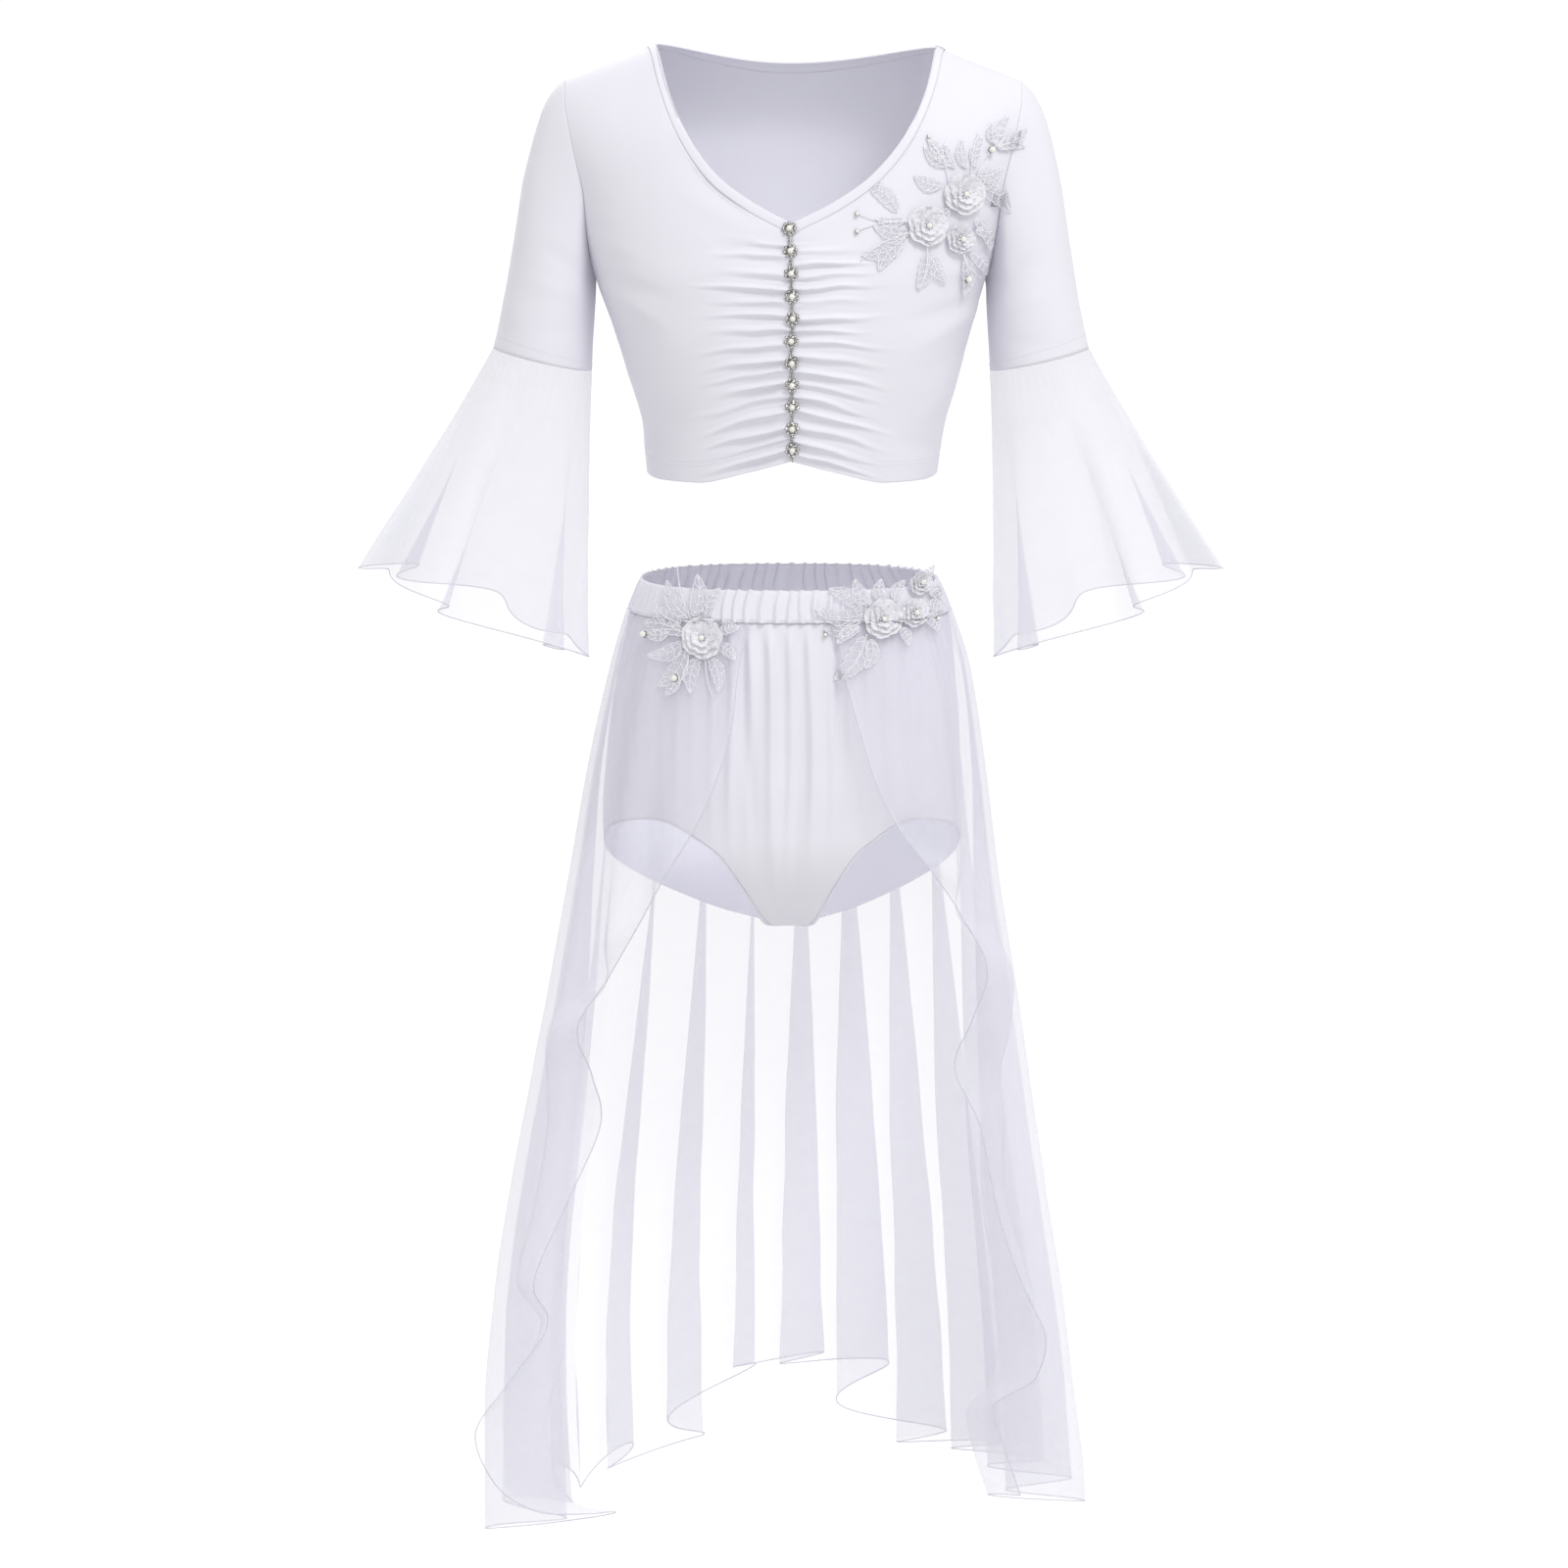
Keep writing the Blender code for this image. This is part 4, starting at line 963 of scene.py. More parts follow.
# The waistband: a wide elastic in a casing of the knit, which it gathers, most at the centre
# front and at the back.
BAND_GATHERS = 74
BAND_DEPTH = 1.9
WAIST = table("height left right front back", (
    (-468.5, 137.0, 134.5, 98.6, 98.6),
    (-442, 125.6, 122.6, 92.0, 92.0),
))


def waistband(u, v):
    """The casing, crowned over the elastic; u goes round and v rises."""
    angle = 360.0 * u
    base = ring(WAIST, angle, mix(BAND_BOTTOM, BAND_TOP, v))
    outward = Vector((math.sin(math.radians(angle)), -math.cos(math.radians(angle)), 0.0))
    crown = 0.8 * math.sin(math.pi * v) ** 0.5
    return base + outward * (0.5 + crown)


def band_relief(u, v, point):
    strong = mix(0.25, 1.0, smooth(1.25 - abs((u + 0.5) % 1.0 - 0.5) * 9.0))
    strong = max(strong, 0.7 * smooth(1.4 - abs(u - 0.5) * 4.0))
    turn = 2 * math.pi * BAND_GATHERS * u + 0.9 * math.sin(2 * math.pi * 17 * u)
    uneven = 0.7 + 0.6 * noise.noise(Vector((u * 60.0, v * 1.5, 2.0)))
    held = 1.0 - 0.55 * math.exp(-(((v - 0.12) / 0.06) ** 2))
    held -= 0.35 * math.exp(-(((v - 0.9) / 0.08) ** 2))
    lean = turn + 1.0 * math.sin(3.0 * v + 20.0 * u)
    return BAND_DEPTH * strong * uneven * held * (math.cos(lean) + 0.4 * math.cos(2.0 * lean + 0.5))


band = lay_cloth("waistband_cloth", waistband, 960, 16, SMOOTH_KNIT, relief=band_relief,
                 thickness=2.0, scale=(800.0, 27.0))
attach(band, "root")
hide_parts("waistband")

face_of_band = raised(waistband, band_relief)
cords("waistband_stitches", stitches(lambda t: face_of_band(0.999 * t, 0.11, 0.25), fine=2400),
      STOUT_THREAD, SEWING_THREAD, band)

# The overskirt: a back panel and two front panels of chiffon, cut with flare, gathered into the
# waist seam and hanging in flutes. The front edges cascade, and the hem is longest at the sides.
SKIRT_TOP = BAND_BOTTOM - 0.3
BACK_FLUTES = 12
FRONT_FLUTE_ANGLE = 18.75
BACK_FLUTE_SHARE = 0.62
# The flutes lie over to one side at the back, so that each shows as a band of three layers
LEAN = table("angle lean", (
    (0, 0.32), (92, 0.32), (105, 0.9), (118, 1.5), (150, 1.3), (172, 1.75), (190, 1.4), (212, 2.1),
    (240, 2.2), (256, 1.0), (268, 0.32), (360, 0.32),
))
EDGE_BLEND = 14.0
HEM_RISE = 78.0
HEM_RISE_START = 0.87
HEM_RISE_SPAN = 0.13
SKIRT = table("height left right front back flute", (
    (-1290, 268, 262, 166, 250, 35),
    (-1180, 267, 251, 164, 234, 32),
    (-1052, 256, 234, 160, 214, 28),
    (-964, 241, 219, 157, 200, 25),
    (-877, 224, 206, 154, 187, 21),
    (-790, 207, 193, 150, 173, 16),
    (-700, 190, 178, 145, 160, 10),
    (-600, 172, 165, 134, 143, 5),
    (-520, 153.5, 152, 117, 120, 2.6),
    (-468, 138.2, 135.7, 99.8, 99.8, 0.7),
))
LEFT_CASCADE = table("row angle height swing side", (
    (0, 14.5, -468.8, 0.4, -468.8),
    (1, 17.0, -505, 0, -505),
    (2, 18.0, -552, 0, -552),
    (3, 22.0, -598, 0, -600),
    (4, 27.5, -636, 0, -640),
    (5, 36.0, -677, 0, -686),
    (6, 44.0, -720, 0, -730),
    (7, 53.0, -765, 2, -778),
    (8, 62.0, -812, 10, -826),
    (9, 64.0, -860, -16, -872),
    (10, 65.0, -905, -34, -918),
    (11, 67.0, -975, -11, -985),
    (12, 68.5, -1040, 10, -1048),
    (13, 70.0, -1080, -10, -1088),
    (14, 72.0, -1130, 22, -1135),
    (15, 73.0, -1173, 52, -1178),
    (16, 74.0, -1222, 33, -1224),
    (17, 75.0, -1256, -14, -1258),
    (18, 76.0, -1264, -61, -1283),
))
RIGHT_CASCADE = table("row angle height swing side", (
    (0, 16.0, -468.8, 0.4, -468.8),
    (1, 17.5, -510, 0, -508),
    (2, 21.5, -556, 0, -552),
    (3, 26.5, -602, 0, -600),
    (4, 34.0, -640, 0, -640),
    (5, 45.0, -676, 0, -686),
    (6, 55.0, -712, 2, -730),
    (7, 63.0, -762, 10, -778),
    (8, 64.5, -808, -8, -826),
    (9, 66.0, -855, -30, -872),
    (10, 68.0, -905, -14, -918),
    (11, 69.5, -975, -8, -985),
    (12, 69.5, -1035, 4, -1048),
    (13, 70.5, -1062, 12, -1082),
    (14, 71.5, -1092, 20, -1112),
    (15, 72.5, -1130, 6, -1150),
    (16, 73.5, -1162, -35, -1190),
    (17, 74.5, -1192, -29, -1225),
    (18, 75.5, -1240, -18, -1258),
))


def flute_phase(angle):
    """The turn of the flutes at an angle from 0 to 360: a crest lies on each side seam."""
    if angle > 180.0:
        return flute_phase(360.0 - angle)
    if angle >= 90.0:
        even = (angle - 90.0) * BACK_FLUTES / 180.0
        return 2 * math.pi * even + 0.6 * math.sin(math.radians(4.0 * (angle - 90.0)))
    return 2 * math.pi * (90.0 - angle) / FRONT_FLUTE_ANGLE


def flute_depth(angle, height):
    """How far a crest stands out from the base, shallower at the back and front."""
    side = math.sin(math.radians(angle)) ** 4
    uneven = 1.0 + 0.16 * math.sin(math.radians(5.0 * angle + 40.0)) * (1.0 - side)
    return read(SKIRT, "height", "flute", height) * mix(BACK_FLUTE_SHARE, 1.0, side) * uneven


def skirt_base(angle, height):
    """The smooth cone midway between crests and troughs."""
    return ring(SKIRT, angle, height, shrink=read(SKIRT, "height", "flute", height))


def skirt_form(angle, height, swing=None):
    """A point of the fluted overskirt, or one that swings a set distance from the base."""
    base = skirt_base(angle, height)
    along = skirt_base(angle + 0.4, height) - skirt_base(angle - 0.4, height)
    outward = Vector((along.y, -along.x, 0.0)).normalized()
    sideways = Vector((-outward.y, outward.x, 0.0))
    if swing is None:
        swing = flute_depth(angle, height) * math.cos(flute_phase(angle % 360.0))
    lean = read(LEAN, "angle", "lean", angle % 360.0) * math.cos(math.radians(angle))
    return base + outward * swing + sideways * swing * lean


def hem_height(angle):
    """The height of the back panel's hem, which rises to the centre back."""
    side = mix(LEFT_CASCADE["side"][-1], RIGHT_CASCADE["side"][-1],
               0.5 + 0.5 * math.sin(math.radians(angle)))
    rise = smooth((-math.cos(math.radians(angle)) - HEM_RISE_START) / HEM_RISE_SPAN)
    return side + HEM_RISE * rise


def skirt_back(u, v):
    """The back panel; u goes round from the right side seam to the left one, v runs down."""
    angle = mix(90.05, 269.95, u)
    return skirt_form(angle, mix(SKIRT_TOP, hem_height(angle), v))


def skirt_front(side):
    """A front panel; u runs from the side seam to the free edge, v down the cascade."""
    sign = 1.0 if side == "right" else -1.0
    rows = RIGHT_CASCADE if side == "right" else LEFT_CASCADE
    last = rows["row"][-1]

    @functools.lru_cache(maxsize=None)
    def free_edge(v):
        angle, height, swing, seam = (read(rows, "row", name, v * last)
                                      for name in ("angle", "height", "swing", "side"))
        edge = skirt_form(sign * angle % 360.0, height, swing)
        return angle, height, seam, edge - skirt_form(sign * angle % 360.0, height)

    def surface(u, v):
        edge_angle, edge_height, seam_height, shift = free_edge(v)
        angle = mix(89.93, edge_angle, u)
        point = skirt_form(sign * angle % 360.0, mix(seam_height, edge_height, u))
        reach = min(EDGE_BLEND, 90.0 - edge_angle)
        return point + shift * smooth(1.0 - (angle - edge_angle) / reach)
    return surface


def hang_relief(u, v, point):
    """Small gathers under the waist seam that die out as the flutes open, and a slow flutter."""
    angle = math.degrees(math.atan2(point.x, -point.y))
    gathers = 0.45 * math.cos(math.radians(angle) * 96.0 + 1.5 * math.sin(angle / 6.0))
    drop = (SKIRT_TOP - point.z) / 110.0
    flutter = 2.2 * v * v * soft_noise(point, 70.0, 5.0)
    return gathers * smooth(drop * 12.0) * smooth(1.0 - drop) + flutter


skirt_panel = lay_cloth("skirt_back_cloth", skirt_back, 480, 120, SHEER_CHIFFON, relief=hang_relief,
                        scale=(1450.0, 800.0))
face_of_back = raised(skirt_back, hang_relief)
back_hem = cords("skirt_back_hem", [[face_of_back(i / 480, 1.0) for i in range(481)]], HEM_ROLL,
                 ROLLED_EDGE, skirt_panel)
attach(skirt_panel, "root")
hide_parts("skirt_back")
for half, _ in SIDES:
    fall = skirt_front(half)
    panel = lay_cloth("skirt_front_" + half + "_cloth", fall, 110, 200, SHEER_CHIFFON,
                      relief=hang_relief, scale=(420.0, 800.0))
    face_of_panel = raised(fall, hang_relief)
    edge = [face_of_panel(1.0, i / 240) for i in range(241)]
    edge += [face_of_panel(1.0 - i / 60, 1.0) for i in range(1, 61)]
    free_edge = cords("skirt_front_" + half + "_edge", [edge], HEM_ROLL, ROLLED_EDGE, panel)
    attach(panel, "root")
    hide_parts("skirt_front_" + half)

# The trim: eleven flower studs of dark silver set with pearls and small glass stones, strung on a
# fine chain that runs down the centre front from the V of the neck to just above the hem.
TRIM_TOP = -147.0
TRIM_PITCH = 17.9
STUDS = 11
STUD_SWAY = (-1.6, -0.6, 0.0, 0.6, 1.2, 0.0, 0.6, 0.7, 0.8, 0.8, 0.9)
STUD_PEARL = 2.3
TRIM_SILVER, TRIM_GLASS, TRIM_PEARL = range(3)

# Tarnished in small patches at random, dark beside bright, so that it looks grey with small glints.
DARK_SILVER, silver = finish_material("dark silver, cast and polished on its edges")
silver_place = node(DARK_SILVER, "ShaderNodeTexCoord")
tarnish = node(DARK_SILVER, "ShaderNodeTexNoise", Vector=(silver_place, "Object"), Scale=900.0,
               Detail=3.0)
patina = node(DARK_SILVER, "ShaderNodeValToRGB", Fac=(tarnish, "Fac"))
patina.color_ramp.elements[0].position = 0.42
patina.color_ramp.elements[0].color = linear("#5b5955")
patina.color_ramp.elements[1].position = 0.66
patina.color_ramp.elements[1].color = linear("#d4d2cc")
connect(DARK_SILVER, silver, Base_Color=(patina, "Color"), Metallic=1.0, Roughness=0.2)

# The foil throws the light back. Here that shows as painted glints: the glass's colour is whitened
# towards the middle of each cell of a pattern, so that each small stone is one bright point.
CUT_GLASS, glass = finish_material("foil-backed cut glass")
glass_place = node(CUT_GLASS, "ShaderNodeTexCoord")
# painted glints: the cells whose middles whiten the glass's colour
painted_glint_cells = node(CUT_GLASS, "ShaderNodeTexVoronoi", Vector=(glass_place, "Object"), Scale=1400.0)
painted_glint_tone = node(CUT_GLASS, "ShaderNodeValToRGB", Fac=(painted_glint_cells, "Distance"))
painted_glint_tone.color_ramp.elements[0].color = linear("#fbfcff")
painted_glint_tone.color_ramp.elements[1].color = linear("#c3c6cd")
connect(CUT_GLASS, glass, Base_Color=(painted_glint_tone, "Color"), Metallic=0.85, Roughness=0.08)

# A warm off-white under a thin clear lacquer: softly cloudy, with one small highlight.
IVORY_PEARL, nacre = finish_material("ivory glass pearl")
pearl_place = node(IVORY_PEARL, "ShaderNodeTexCoord")
cloudy = node(IVORY_PEARL, "ShaderNodeTexNoise", Vector=(pearl_place, "Object"), Scale=500.0,
              Detail=2.0)
lustre = node(IVORY_PEARL, "ShaderNodeValToRGB", Fac=(cloudy, "Fac"))
lustre.color_ramp.elements[0].color = linear("#eae6df")
lustre.color_ramp.elements[1].color = linear("#faf7f1")
connect(IVORY_PEARL, nacre, Base_Color=(lustre, "Color"), Roughness=0.22, Coat_Weight=0.4,
        Coat_Roughness=0.08)


def bead(joined, place_on, radius, slot, detail=2, squash=1.0):
    """A round bead, or a flatter stone, set square to the cloth."""
    made = bmesh.ops.create_icosphere(joined, subdivisions=detail, radius=radius * MM,
                                      matrix=place_on @ Matrix.Diagonal((1.0, squash, 1.0, 1.0)))
    for face in {face for vertex in made["verts"] for face in vertex.link_faces}:
        face.material_index = slot
        face.smooth = detail > 1


def ring_of_wire(joined, place_on, radius, wire, slot, around=14, section=6):
    """A closed ring of wire that lies flat on the cloth."""
    loop = bmesh.ops.create_circle(joined, segments=section, radius=wire * MM)["verts"]
    bmesh.ops.translate(joined, verts=loop, vec=(radius * MM, 0.0, 0.0))
    edges = list({edge for vertex in loop for edge in vertex.link_edges})
    bmesh.ops.spin(joined, geom=loop + edges, axis=(0.0, 1.0, 0.0), cent=(0.0, 0.0, 0.0),
                   angle=2 * math.pi, steps=around, use_merge=True)
    faces = {face for vertex in loop for face in vertex.link_faces}
    grown = True
    while grown:
        near = {other for face in faces for edge in face.edges for other in edge.link_faces}
        grown = bool(near - faces)
        faces |= near
    for face in faces:
        face.material_index = slot
        face.smooth = True
    corners = list({corner for face in faces for corner in face.verts})
    bmesh.ops.transform(joined, verts=corners, matrix=place_on)


def square_on(point, outward):
    """The place of a small part that stands on cloth: its Y axis points away from the cloth."""
    side = outward.cross(Vector((0.0, 0.0, 1.0))).normalized()
    turn = Matrix((side, outward, side.cross(outward))).transposed().to_4x4()
    return Matrix.Translation(point * MM) @ turn


def front_spot(x, height, lift):
    """A place on the front of the top."""
    angle = on_front(height, x)
    outward = facing(torso, angle, height)
    return square_on(torso(angle, height) + outward * lift, outward)


trim = bmesh.new()
for number in range(STUDS):
    height = TRIM_TOP - TRIM_PITCH * number
    spot = front_spot(STUD_SWAY[number], height, 2.2)
    ring_of_wire(trim, spot, 2.9, 0.55, TRIM_SILVER)
    bead(trim, spot @ Matrix.Translation((0.0, 0.3 * MM, 0.0)), 4.4, TRIM_SILVER, squash=0.22)
    for stone in range(8):
        turn = Matrix.Rotation(math.radians(45.0 * stone + 10.0 * number), 4, "Y")
        seat = spot @ turn @ Matrix.Translation((4.7 * MM, 0.2 * MM, 0.0))
        bead(trim, seat, 1.45, TRIM_SILVER, squash=0.45)
        bead(trim, seat @ Matrix.Translation((0.0, 0.65 * MM, 0.0)), 0.8, TRIM_GLASS, detail=1,
             squash=0.6)
    bead(trim, spot @ Matrix.Translation((0.0, 2.0 * MM, 0.0)), STUD_PEARL, TRIM_PEARL, detail=3)
    for link in range(3):
        along = 7.6 + 1.5 * link
        if number < STUDS - 1 or link < 2:
            turned = Matrix.Rotation(math.radians(90.0 * (link % 2)), 4, "Z")
            seat = front_spot(STUD_SWAY[number], height - along, 2.4) @ turned
            ring_of_wire(trim, seat, 1.0, 0.3, TRIM_SILVER, around=10)
studs = made_of("pearl_trim_studs", trim, DARK_SILVER, CUT_GLASS, IVORY_PEARL)
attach(studs, "root")
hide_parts("pearl_trim")

# The appliques: corded lace of leaves, sprigs and layered flowers, embroidered on net and sewn flat
# to the cloth, with pearls and glass beads at the flowers' hearts.
STEM = 0.5
VEIN = 0.4
LACE_PEARL, LACE_GLASS, LACE_SILVER, LACE_NET = range(1, 5)

# Close satin stitches of white yarn: whiter than the knit, with a fine slanting grain.
LACE_CORD, lace = finish_material("polyester lace, corded embroidery")
lace_place = node(LACE_CORD, "ShaderNodeTexCoord")
threads = node(LACE_CORD, "ShaderNodeTexWave", {"bands_direction": "DIAGONAL"},
               Vector=(lace_place, "Object"), Scale=620.0, Distortion=6.0, Detail=2.0)
fuzz = node(LACE_CORD, "ShaderNodeTexNoise", Vector=(lace_place, "Object"), Scale=1500.0,
            Detail=2.0)
shade_of_lace = node(LACE_CORD, "ShaderNodeValToRGB", Fac=(threads, "Fac"))
shade_of_lace.color_ramp.elements[0].color = linear("#f0eff6")
shade_of_lace.color_ramp.elements[1].color = linear("#fbfafe")
corded = node(LACE_CORD, "ShaderNodeBump", Strength=0.5, Distance=0.0004, Height=(threads, "Fac"))
spun = node(LACE_CORD, "ShaderNodeBump", Strength=0.25, Distance=0.0003, Height=(fuzz, "Fac"),
            Normal=(corded, "Normal"))
connect(LACE_CORD, lace, Base_Color=(shade_of_lace, "Color"), Roughness=0.6, Sheen_Weight=0.15,
        Normal=(spun, "Normal"))

# Net so open that it only veils what lies under it, and lets the corded lines stand out.
FINE_NET, net = finish_material("polyester net under the lace")
net_place = node(FINE_NET, "ShaderNodeTexCoord")
mesh_of_net = node(FINE_NET, "ShaderNodeTexVoronoi", Vector=(net_place, "Object"), Scale=1100.0)
netted = node(FINE_NET, "ShaderNodeBump", Strength=0.4, Distance=0.0003,
              Height=(mesh_of_net, "Distance"))
connect(FINE_NET, net, Base_Color=linear("#f0eff6"), Roughness=0.8, Alpha=0.38,
        Normal=(netted, "Normal"))

LEAF_TEETH = 5


def leaf(plate, x, height, direction, length, width, curl=0.12):
    """A leaf lying flat: a blade of fine net, and the lines of its toothed rim, midrib and veins as
    points of x, height and lift."""
    turn = math.radians(direction)

    def spot(u, s, lift):
        half = 0.5 * width * math.sin(math.pi * min(u**0.8, 1.0)) ** 0.75 + 0.1
        half *= 1.0 + 0.2 * ((LEAF_TEETH * u + 0.15) % 1.0 - 0.5) * smooth((abs(s) - 0.5) / 0.5)
        along = length * u
        across = s * half + curl * length * math.sin(math.pi * u)
        return (x + along * math.cos(turn) - across * math.sin(turn),
                height + along * math.sin(turn) + across * math.cos(turn),
                lift + 0.7 * math.sin(math.pi * u) * (1.0 - 0.5 * s * s))

    blade = bmesh.ops.create_grid(plate, x_segments=25, y_segments=6, size=0.5)["verts"]
    for vertex in blade:
        across, up, lift = spot(vertex.co.x + 0.5, 2.0 * vertex.co.y, 0.1)
        vertex.co = (across, lift, up)
    for face in {face for vertex in blade for face in vertex.link_faces}:
        face.material_index = LACE_NET
    lines = [[spot(i / 35, side, 0.3) for i in range(36)] for side in (-1.0, 1.0)]
    lines.append([spot(i / 14, 0.0, 0.35) for i in range(15)])
    for number in range(LEAF_TEETH):
        foot = (number + 0.35) / LEAF_TEETH
        for side in (-0.92, 0.92):
            lines.append([spot(foot + 0.5 * t / LEAF_TEETH, side * t, 0.3)
                          for t in (0.0, 0.35, 0.7, 1.0)])
    return lines


def petal(plate, x, height, direction, reach, tilt, lift):
    """A petal that rises from the flower's heart, cupped, with a corded and slightly waved rim."""
    turn = math.radians(direction)
    for vertex in bmesh.ops.create_grid(plate, x_segments=12, y_segments=14, size=0.5)["verts"]:
        u, s = vertex.co.x + 0.5, 2.0 * vertex.co.y
        half = 0.62 * reach * math.sin(math.pi * (0.12 + 0.62 * u)) ** 0.9 * (0.25 + 0.75 * u**0.5)
        bow = 1.0 - 0.22 * s * s
        rim = smooth((max(abs(s), u) - 0.8) / 0.12)
        up = lift + reach * tilt * u**1.4 + 0.06 * reach * s * s * u + 0.45 * rim
        up += 0.5 * u * u * math.cos(8.0 * s + direction)
        along, across = reach * u * bow, s * half
        vertex.co = (x + along * math.cos(turn) - across * math.sin(turn), up,
                     height + along * math.sin(turn) + across * math.cos(turn))


def flower(plate, x, height, radius):
    """Three rings of petals, each smaller and more upright than the one below."""
    for count, share, tilt, lift, start in ((7, 1.0, 0.06, 1.0, 10), (6, 0.74, 0.2, 1.7, 35),
                                            (5, 0.46, 0.42, 2.2, 0)):
        for number in range(count):
            direction = start + 360.0 * number / count + 9.0 * math.sin(2.3 * number + x)
            petal(plate, x, height, direction, radius * share, tilt, lift)


def cover_of(names, top):
    """Where the outermost of some cloths lies behind a spot, seen from the front."""
    cloths = bmesh.new()
    for name in names:
        cloths.from_mesh(bpy.data.objects[name].data)
    tree = BVHTree.FromBMesh(cloths)
    cloths.free()

    def hit(x, height):
        found = tree.ray_cast(Vector((x, -500.0, height)) * MM, Vector((0.0, 1.0, 0.0)))
        if found[0] is None or found[0].y > 0.0:
            found = tree.find_nearest(Vector((x, -60.0, height)) * MM)
        return found[0] / MM

    def cloth(x, height):
        reach = 5.0
        above = max(0.0, height - top)
        height = min(height, top)
        here = hit(x, height)
        here.y = min(hit(x + side, height).y for side in (-3.0, 0.0, 3.0))
        across = hit(x + reach, height - reach) - hit(x - reach, height - reach)
        upward = hit(x, height) - hit(x, height - 2.0 * reach)
        outward = across.cross(upward).normalized()
        if outward.y > 0.0:
            outward = -outward
        outward = (outward + Vector((0.5 * x / 150.0, -0.8, 0.0))).normalized()
        here.z += above
        return here, outward
    return cloth


def applique(name, node_name, cloth, clear, flowers, leaves, stems, pearls):
    """A spray of leaves and flowers, laid out flat and then set on the cloth beneath."""
    plate = bmesh.new()
    veins = [line for spray in leaves for line in leaf(plate, *spray)]
    for bloom in flowers:
        flower(plate, *bloom)
    for vertex in plate.verts:
        point, outward = cloth(vertex.co.x, vertex.co.z)
        vertex.co = (point + outward * (clear + vertex.co.y)) * MM
    plate.normal_update()
    for face in plate.faces:
        if face.normal.y > 0.0:
            face.normal_flip()
    for x, height, _ in flowers:
        point, outward = cloth(x, height)
        seat = square_on(point + outward * (clear + 0.5), outward)
        heart = seat @ Matrix.Translation((0.0, 4.2 * MM, 0.0))
        bead(plate, heart, STUD_PEARL, LACE_PEARL, detail=3)
        for number in range(7):
            turn = Matrix.Rotation(2 * math.pi * number / 7, 4, "Y")
            beside = seat @ turn @ Matrix.Translation((3.3 * MM, 3.6 * MM, 0.0))
            bead(plate, beside, 0.85, LACE_GLASS)
    for x, height, radius in pearls:
        point, outward = cloth(x, height)
        seat = square_on(point + outward * (clear + 0.6), outward)
        collar = seat @ Matrix.Translation((0.0, 0.5 * MM, 0.0))
        ring_of_wire(plate, collar, radius, 0.45, LACE_SILVER)
        above = seat @ Matrix.Translation((0.0, radius * MM, 0.0))
        bead(plate, above, radius, LACE_PEARL, detail=3)
    spray = made_of(name, plate, LACE_CORD, IVORY_PEARL, CUT_GLASS, DARK_SILVER, FINE_NET)
    for face in spray.data.polygons:
        face.use_smooth = True
    lines = []
    for x0, z0, x1, z1, sag in stems:
        line = []
        for i in range(17):
            t = i / 16
            away = sag * math.sin(math.pi * t)
            reach = math.hypot(x1 - x0, z1 - z0)
            x = mix(x0, x1, t) - away * (z1 - z0) / reach
            height = mix(z0, z1, t) + away * (x1 - x0) / reach
            point, outward = cloth(x, height)
            line.append(point + outward * (clear + 0.8))
        lines.append(line)
    cords(name + "_stems", lines, STEM, LACE_CORD, spray)
    laid = []
    for line in veins:
        laid.append([])
        for x, height, lift in line:
            point, outward = cloth(x, height)
            laid[-1].append(point + outward * (clear + lift))
    cords(name + "_veins", laid, VEIN, LACE_CORD, spray)
    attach(spray, "root")
    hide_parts(node_name)


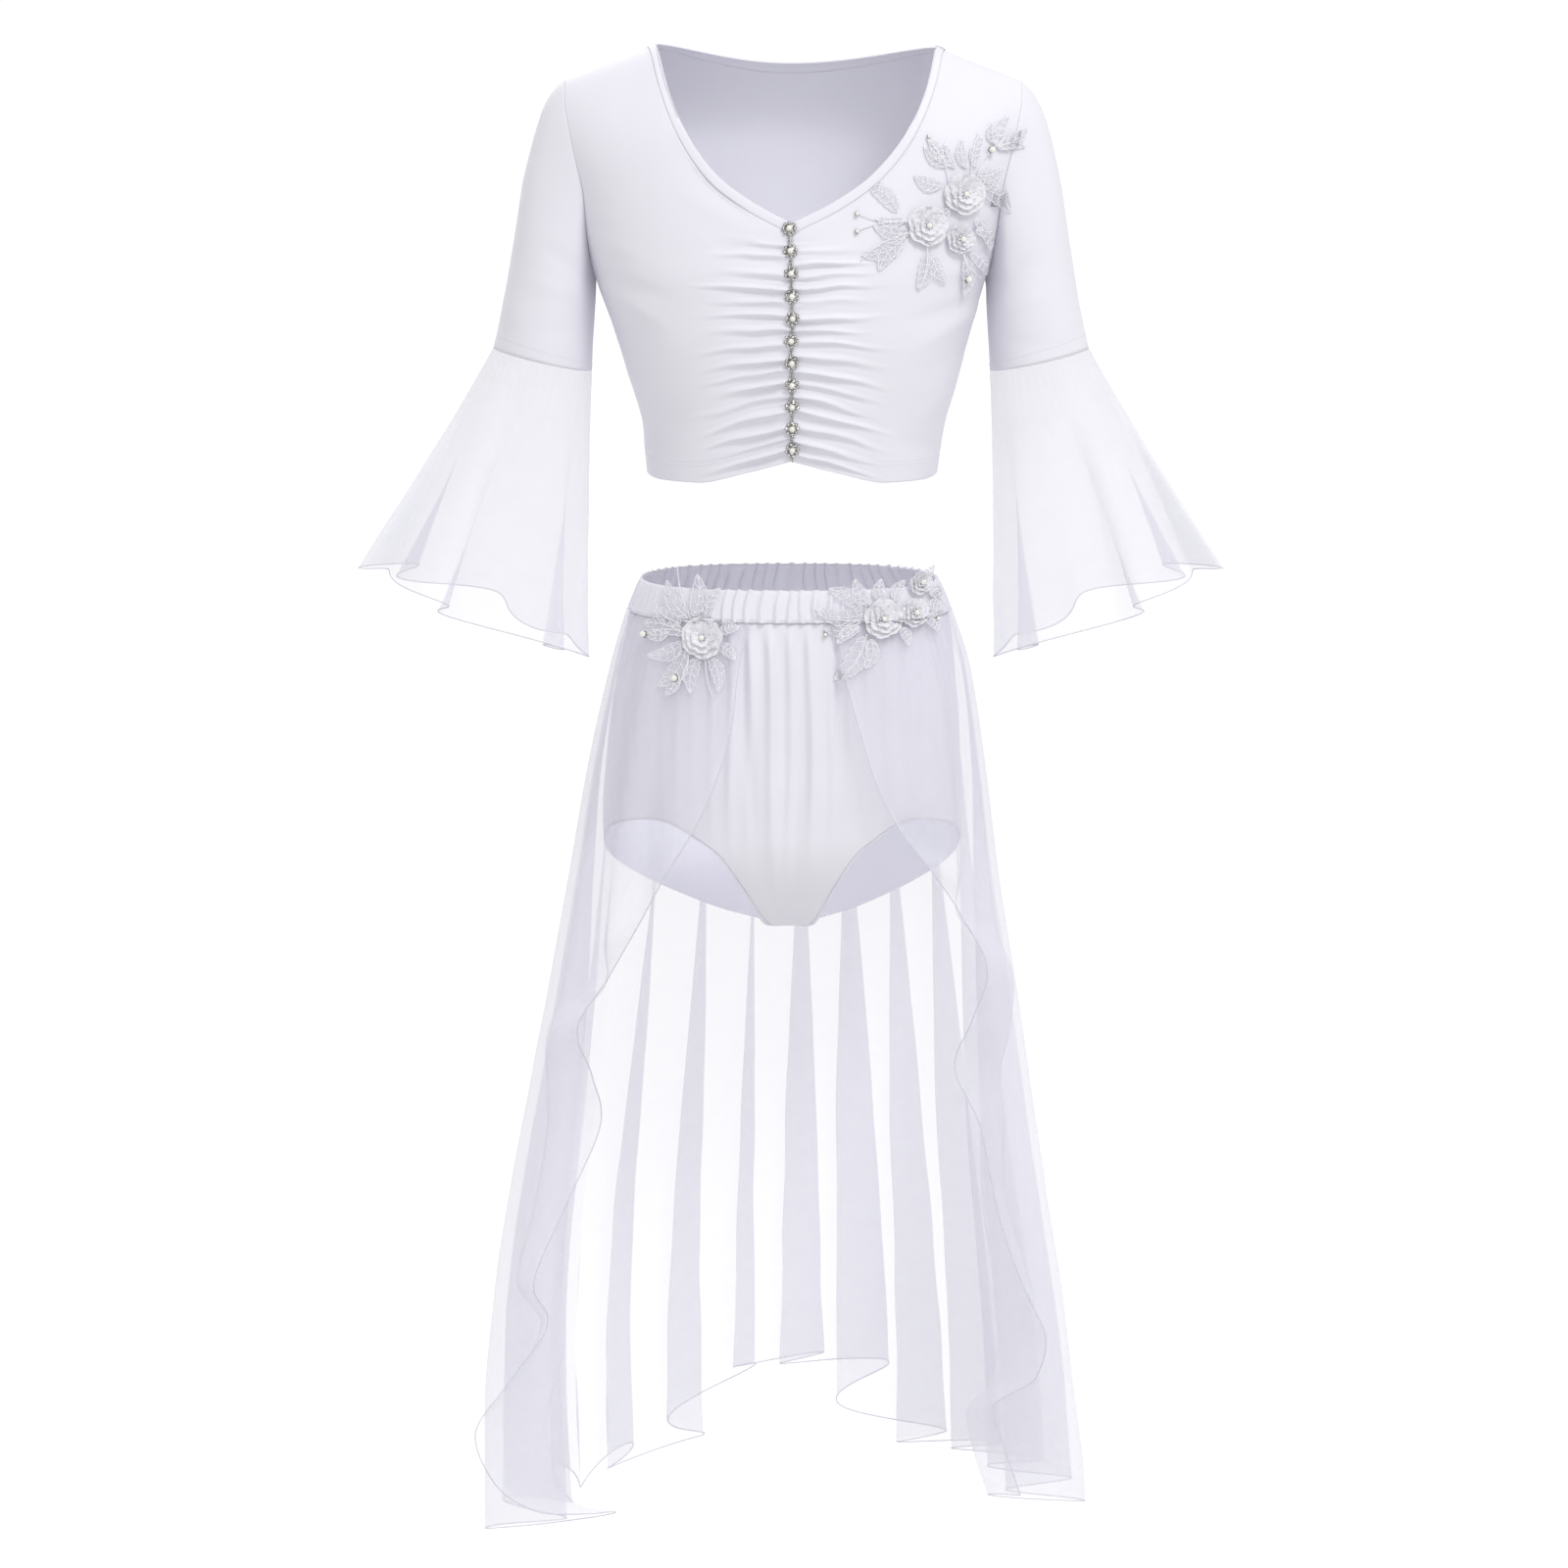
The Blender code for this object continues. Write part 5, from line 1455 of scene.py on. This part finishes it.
on_shoulder = cover_of(["front_right_cloth", "sleeve_right_cloth"], -20.0)
applique(
    "shoulder_spray", "shoulder_applique", on_shoulder, 0.7,
    flowers=((140, -120, 17), (110, -145, 16.5), (137, -156, 12)),
    leaves=(
        (167, -82, 66, 27, 10), (168, -82, 30, 30, 10, -0.1), (168, -83, 2, 24, 9),
        (166, -80, 96, 18, 8), (128, -97, 142, 26, 9), (120, -93, 118, 20, 8, -0.1),
        (142, -99, 98, 24, 8), (149, -98, 74, 26, 8),
        (133, -99, 112, 22, 7), (122, -113, 160, 24, 11), (152, -106, 18, 22, 10, -0.1),
        (155, -116, -38, 32, 14), (150, -112, -12, 20, 9), (86, -133, 140, 33, 12, -0.1),
        (92, -140, 176, 24, 8), (92, -154, -158, 38, 14), (88, -158, -128, 28, 12, -0.1),
        (96, -150, 170, 30, 10), (110, -168, -106, 28, 13), (114, -168, -62, 26, 10, -0.1),
        (142, -172, -92, 30, 11), (146, -168, -52, 24, 10), (150, -140, -64, 30, 11),
        (128, -132, -150, 16, 8), (150, -150, -20, 16, 8),
    ),
    stems=(
        (150, -112, 166, -82, 4), (128, -112, 110, -76, -4), (146, -108, 152, -70, 2),
        (96, -140, 53, -134, 4), (96, -142, 54, -148, -3), (98, -150, 56, -172, -4),
        (110, -160, 104, -196, 2), (140, -168, 141, -204, 3), (137, -160, 156, -190, -4),
    ),
    pearls=((162, -85, 2.6), (143, -189, 2.6), (53, -135, 1.6), (53, -149, 1.6), (111, -74, 1.4)))
on_hips = cover_of(["waistband_cloth", "brief_front_cloth", "skirt_front_left_cloth",
                    "skirt_front_right_cloth"], BAND_TOP - 1.5)
applique(
    "hip_spray_left", "hip_applique_left", on_hips, 1.2,
    flowers=((-72, -481, 17),),
    leaves=(
        (-84, -466, 122, 34, 12), (-80, -464, 84, 34, 13, -0.1), (-70, -464, 62, 26, 11),
        (-90, -470, 150, 26, 12), (-88, -478, 172, 34, 13, -0.1), (-88, -486, -158, 32, 12),
        (-86, -492, -128, 38, 14), (-76, -496, -102, 30, 11, -0.1), (-66, -496, -76, 28, 11),
        (-60, -486, -40, 18, 9), (-58, -476, 14, 16, 9), (-100, -478, -176, 22, 9),
        (-94, -508, -112, 22, 9),
    ),
    stems=(
        (-80, -470, -93, -424, 3), (-84, -478, -120, -482, -4), (-82, -486, -96, -526, 3),
        (-70, -494, -64, -528, -2),
    ),
    pearls=((-120, -482, 2.6), (-94, -514, 2.6)))
applique(
    "hip_spray_right", "hip_applique_right", on_hips, 1.4,
    flowers=((75, -466, 16), (101, -463, 11.5), (106, -440, 9.5)),
    leaves=(
        (58, -462, 172, 38, 13), (58, -458, 148, 32, 12, -0.1), (64, -454, 120, 24, 11),
        (74, -452, 92, 18, 10), (56, -468, -170, 30, 11), (56, -472, -146, 22, 9, -0.1),
        (60, -480, -126, 42, 16), (66, -482, -102, 24, 11), (90, -474, -66, 16, 8),
        (112, -458, -18, 16, 9), (114, -450, 20, 16, 9, -0.1), (112, -438, 60, 12, 7),
        (110, -466, -50, 18, 9), (84, -452, 60, 18, 9),
    ),
    stems=((62, -466, 20, -460, 3), (62, -478, 38, -516, 4), (92, -464, 124, -462, -3)),
    pearls=((28, -478, 1.5), (120, -470, 1.6)))
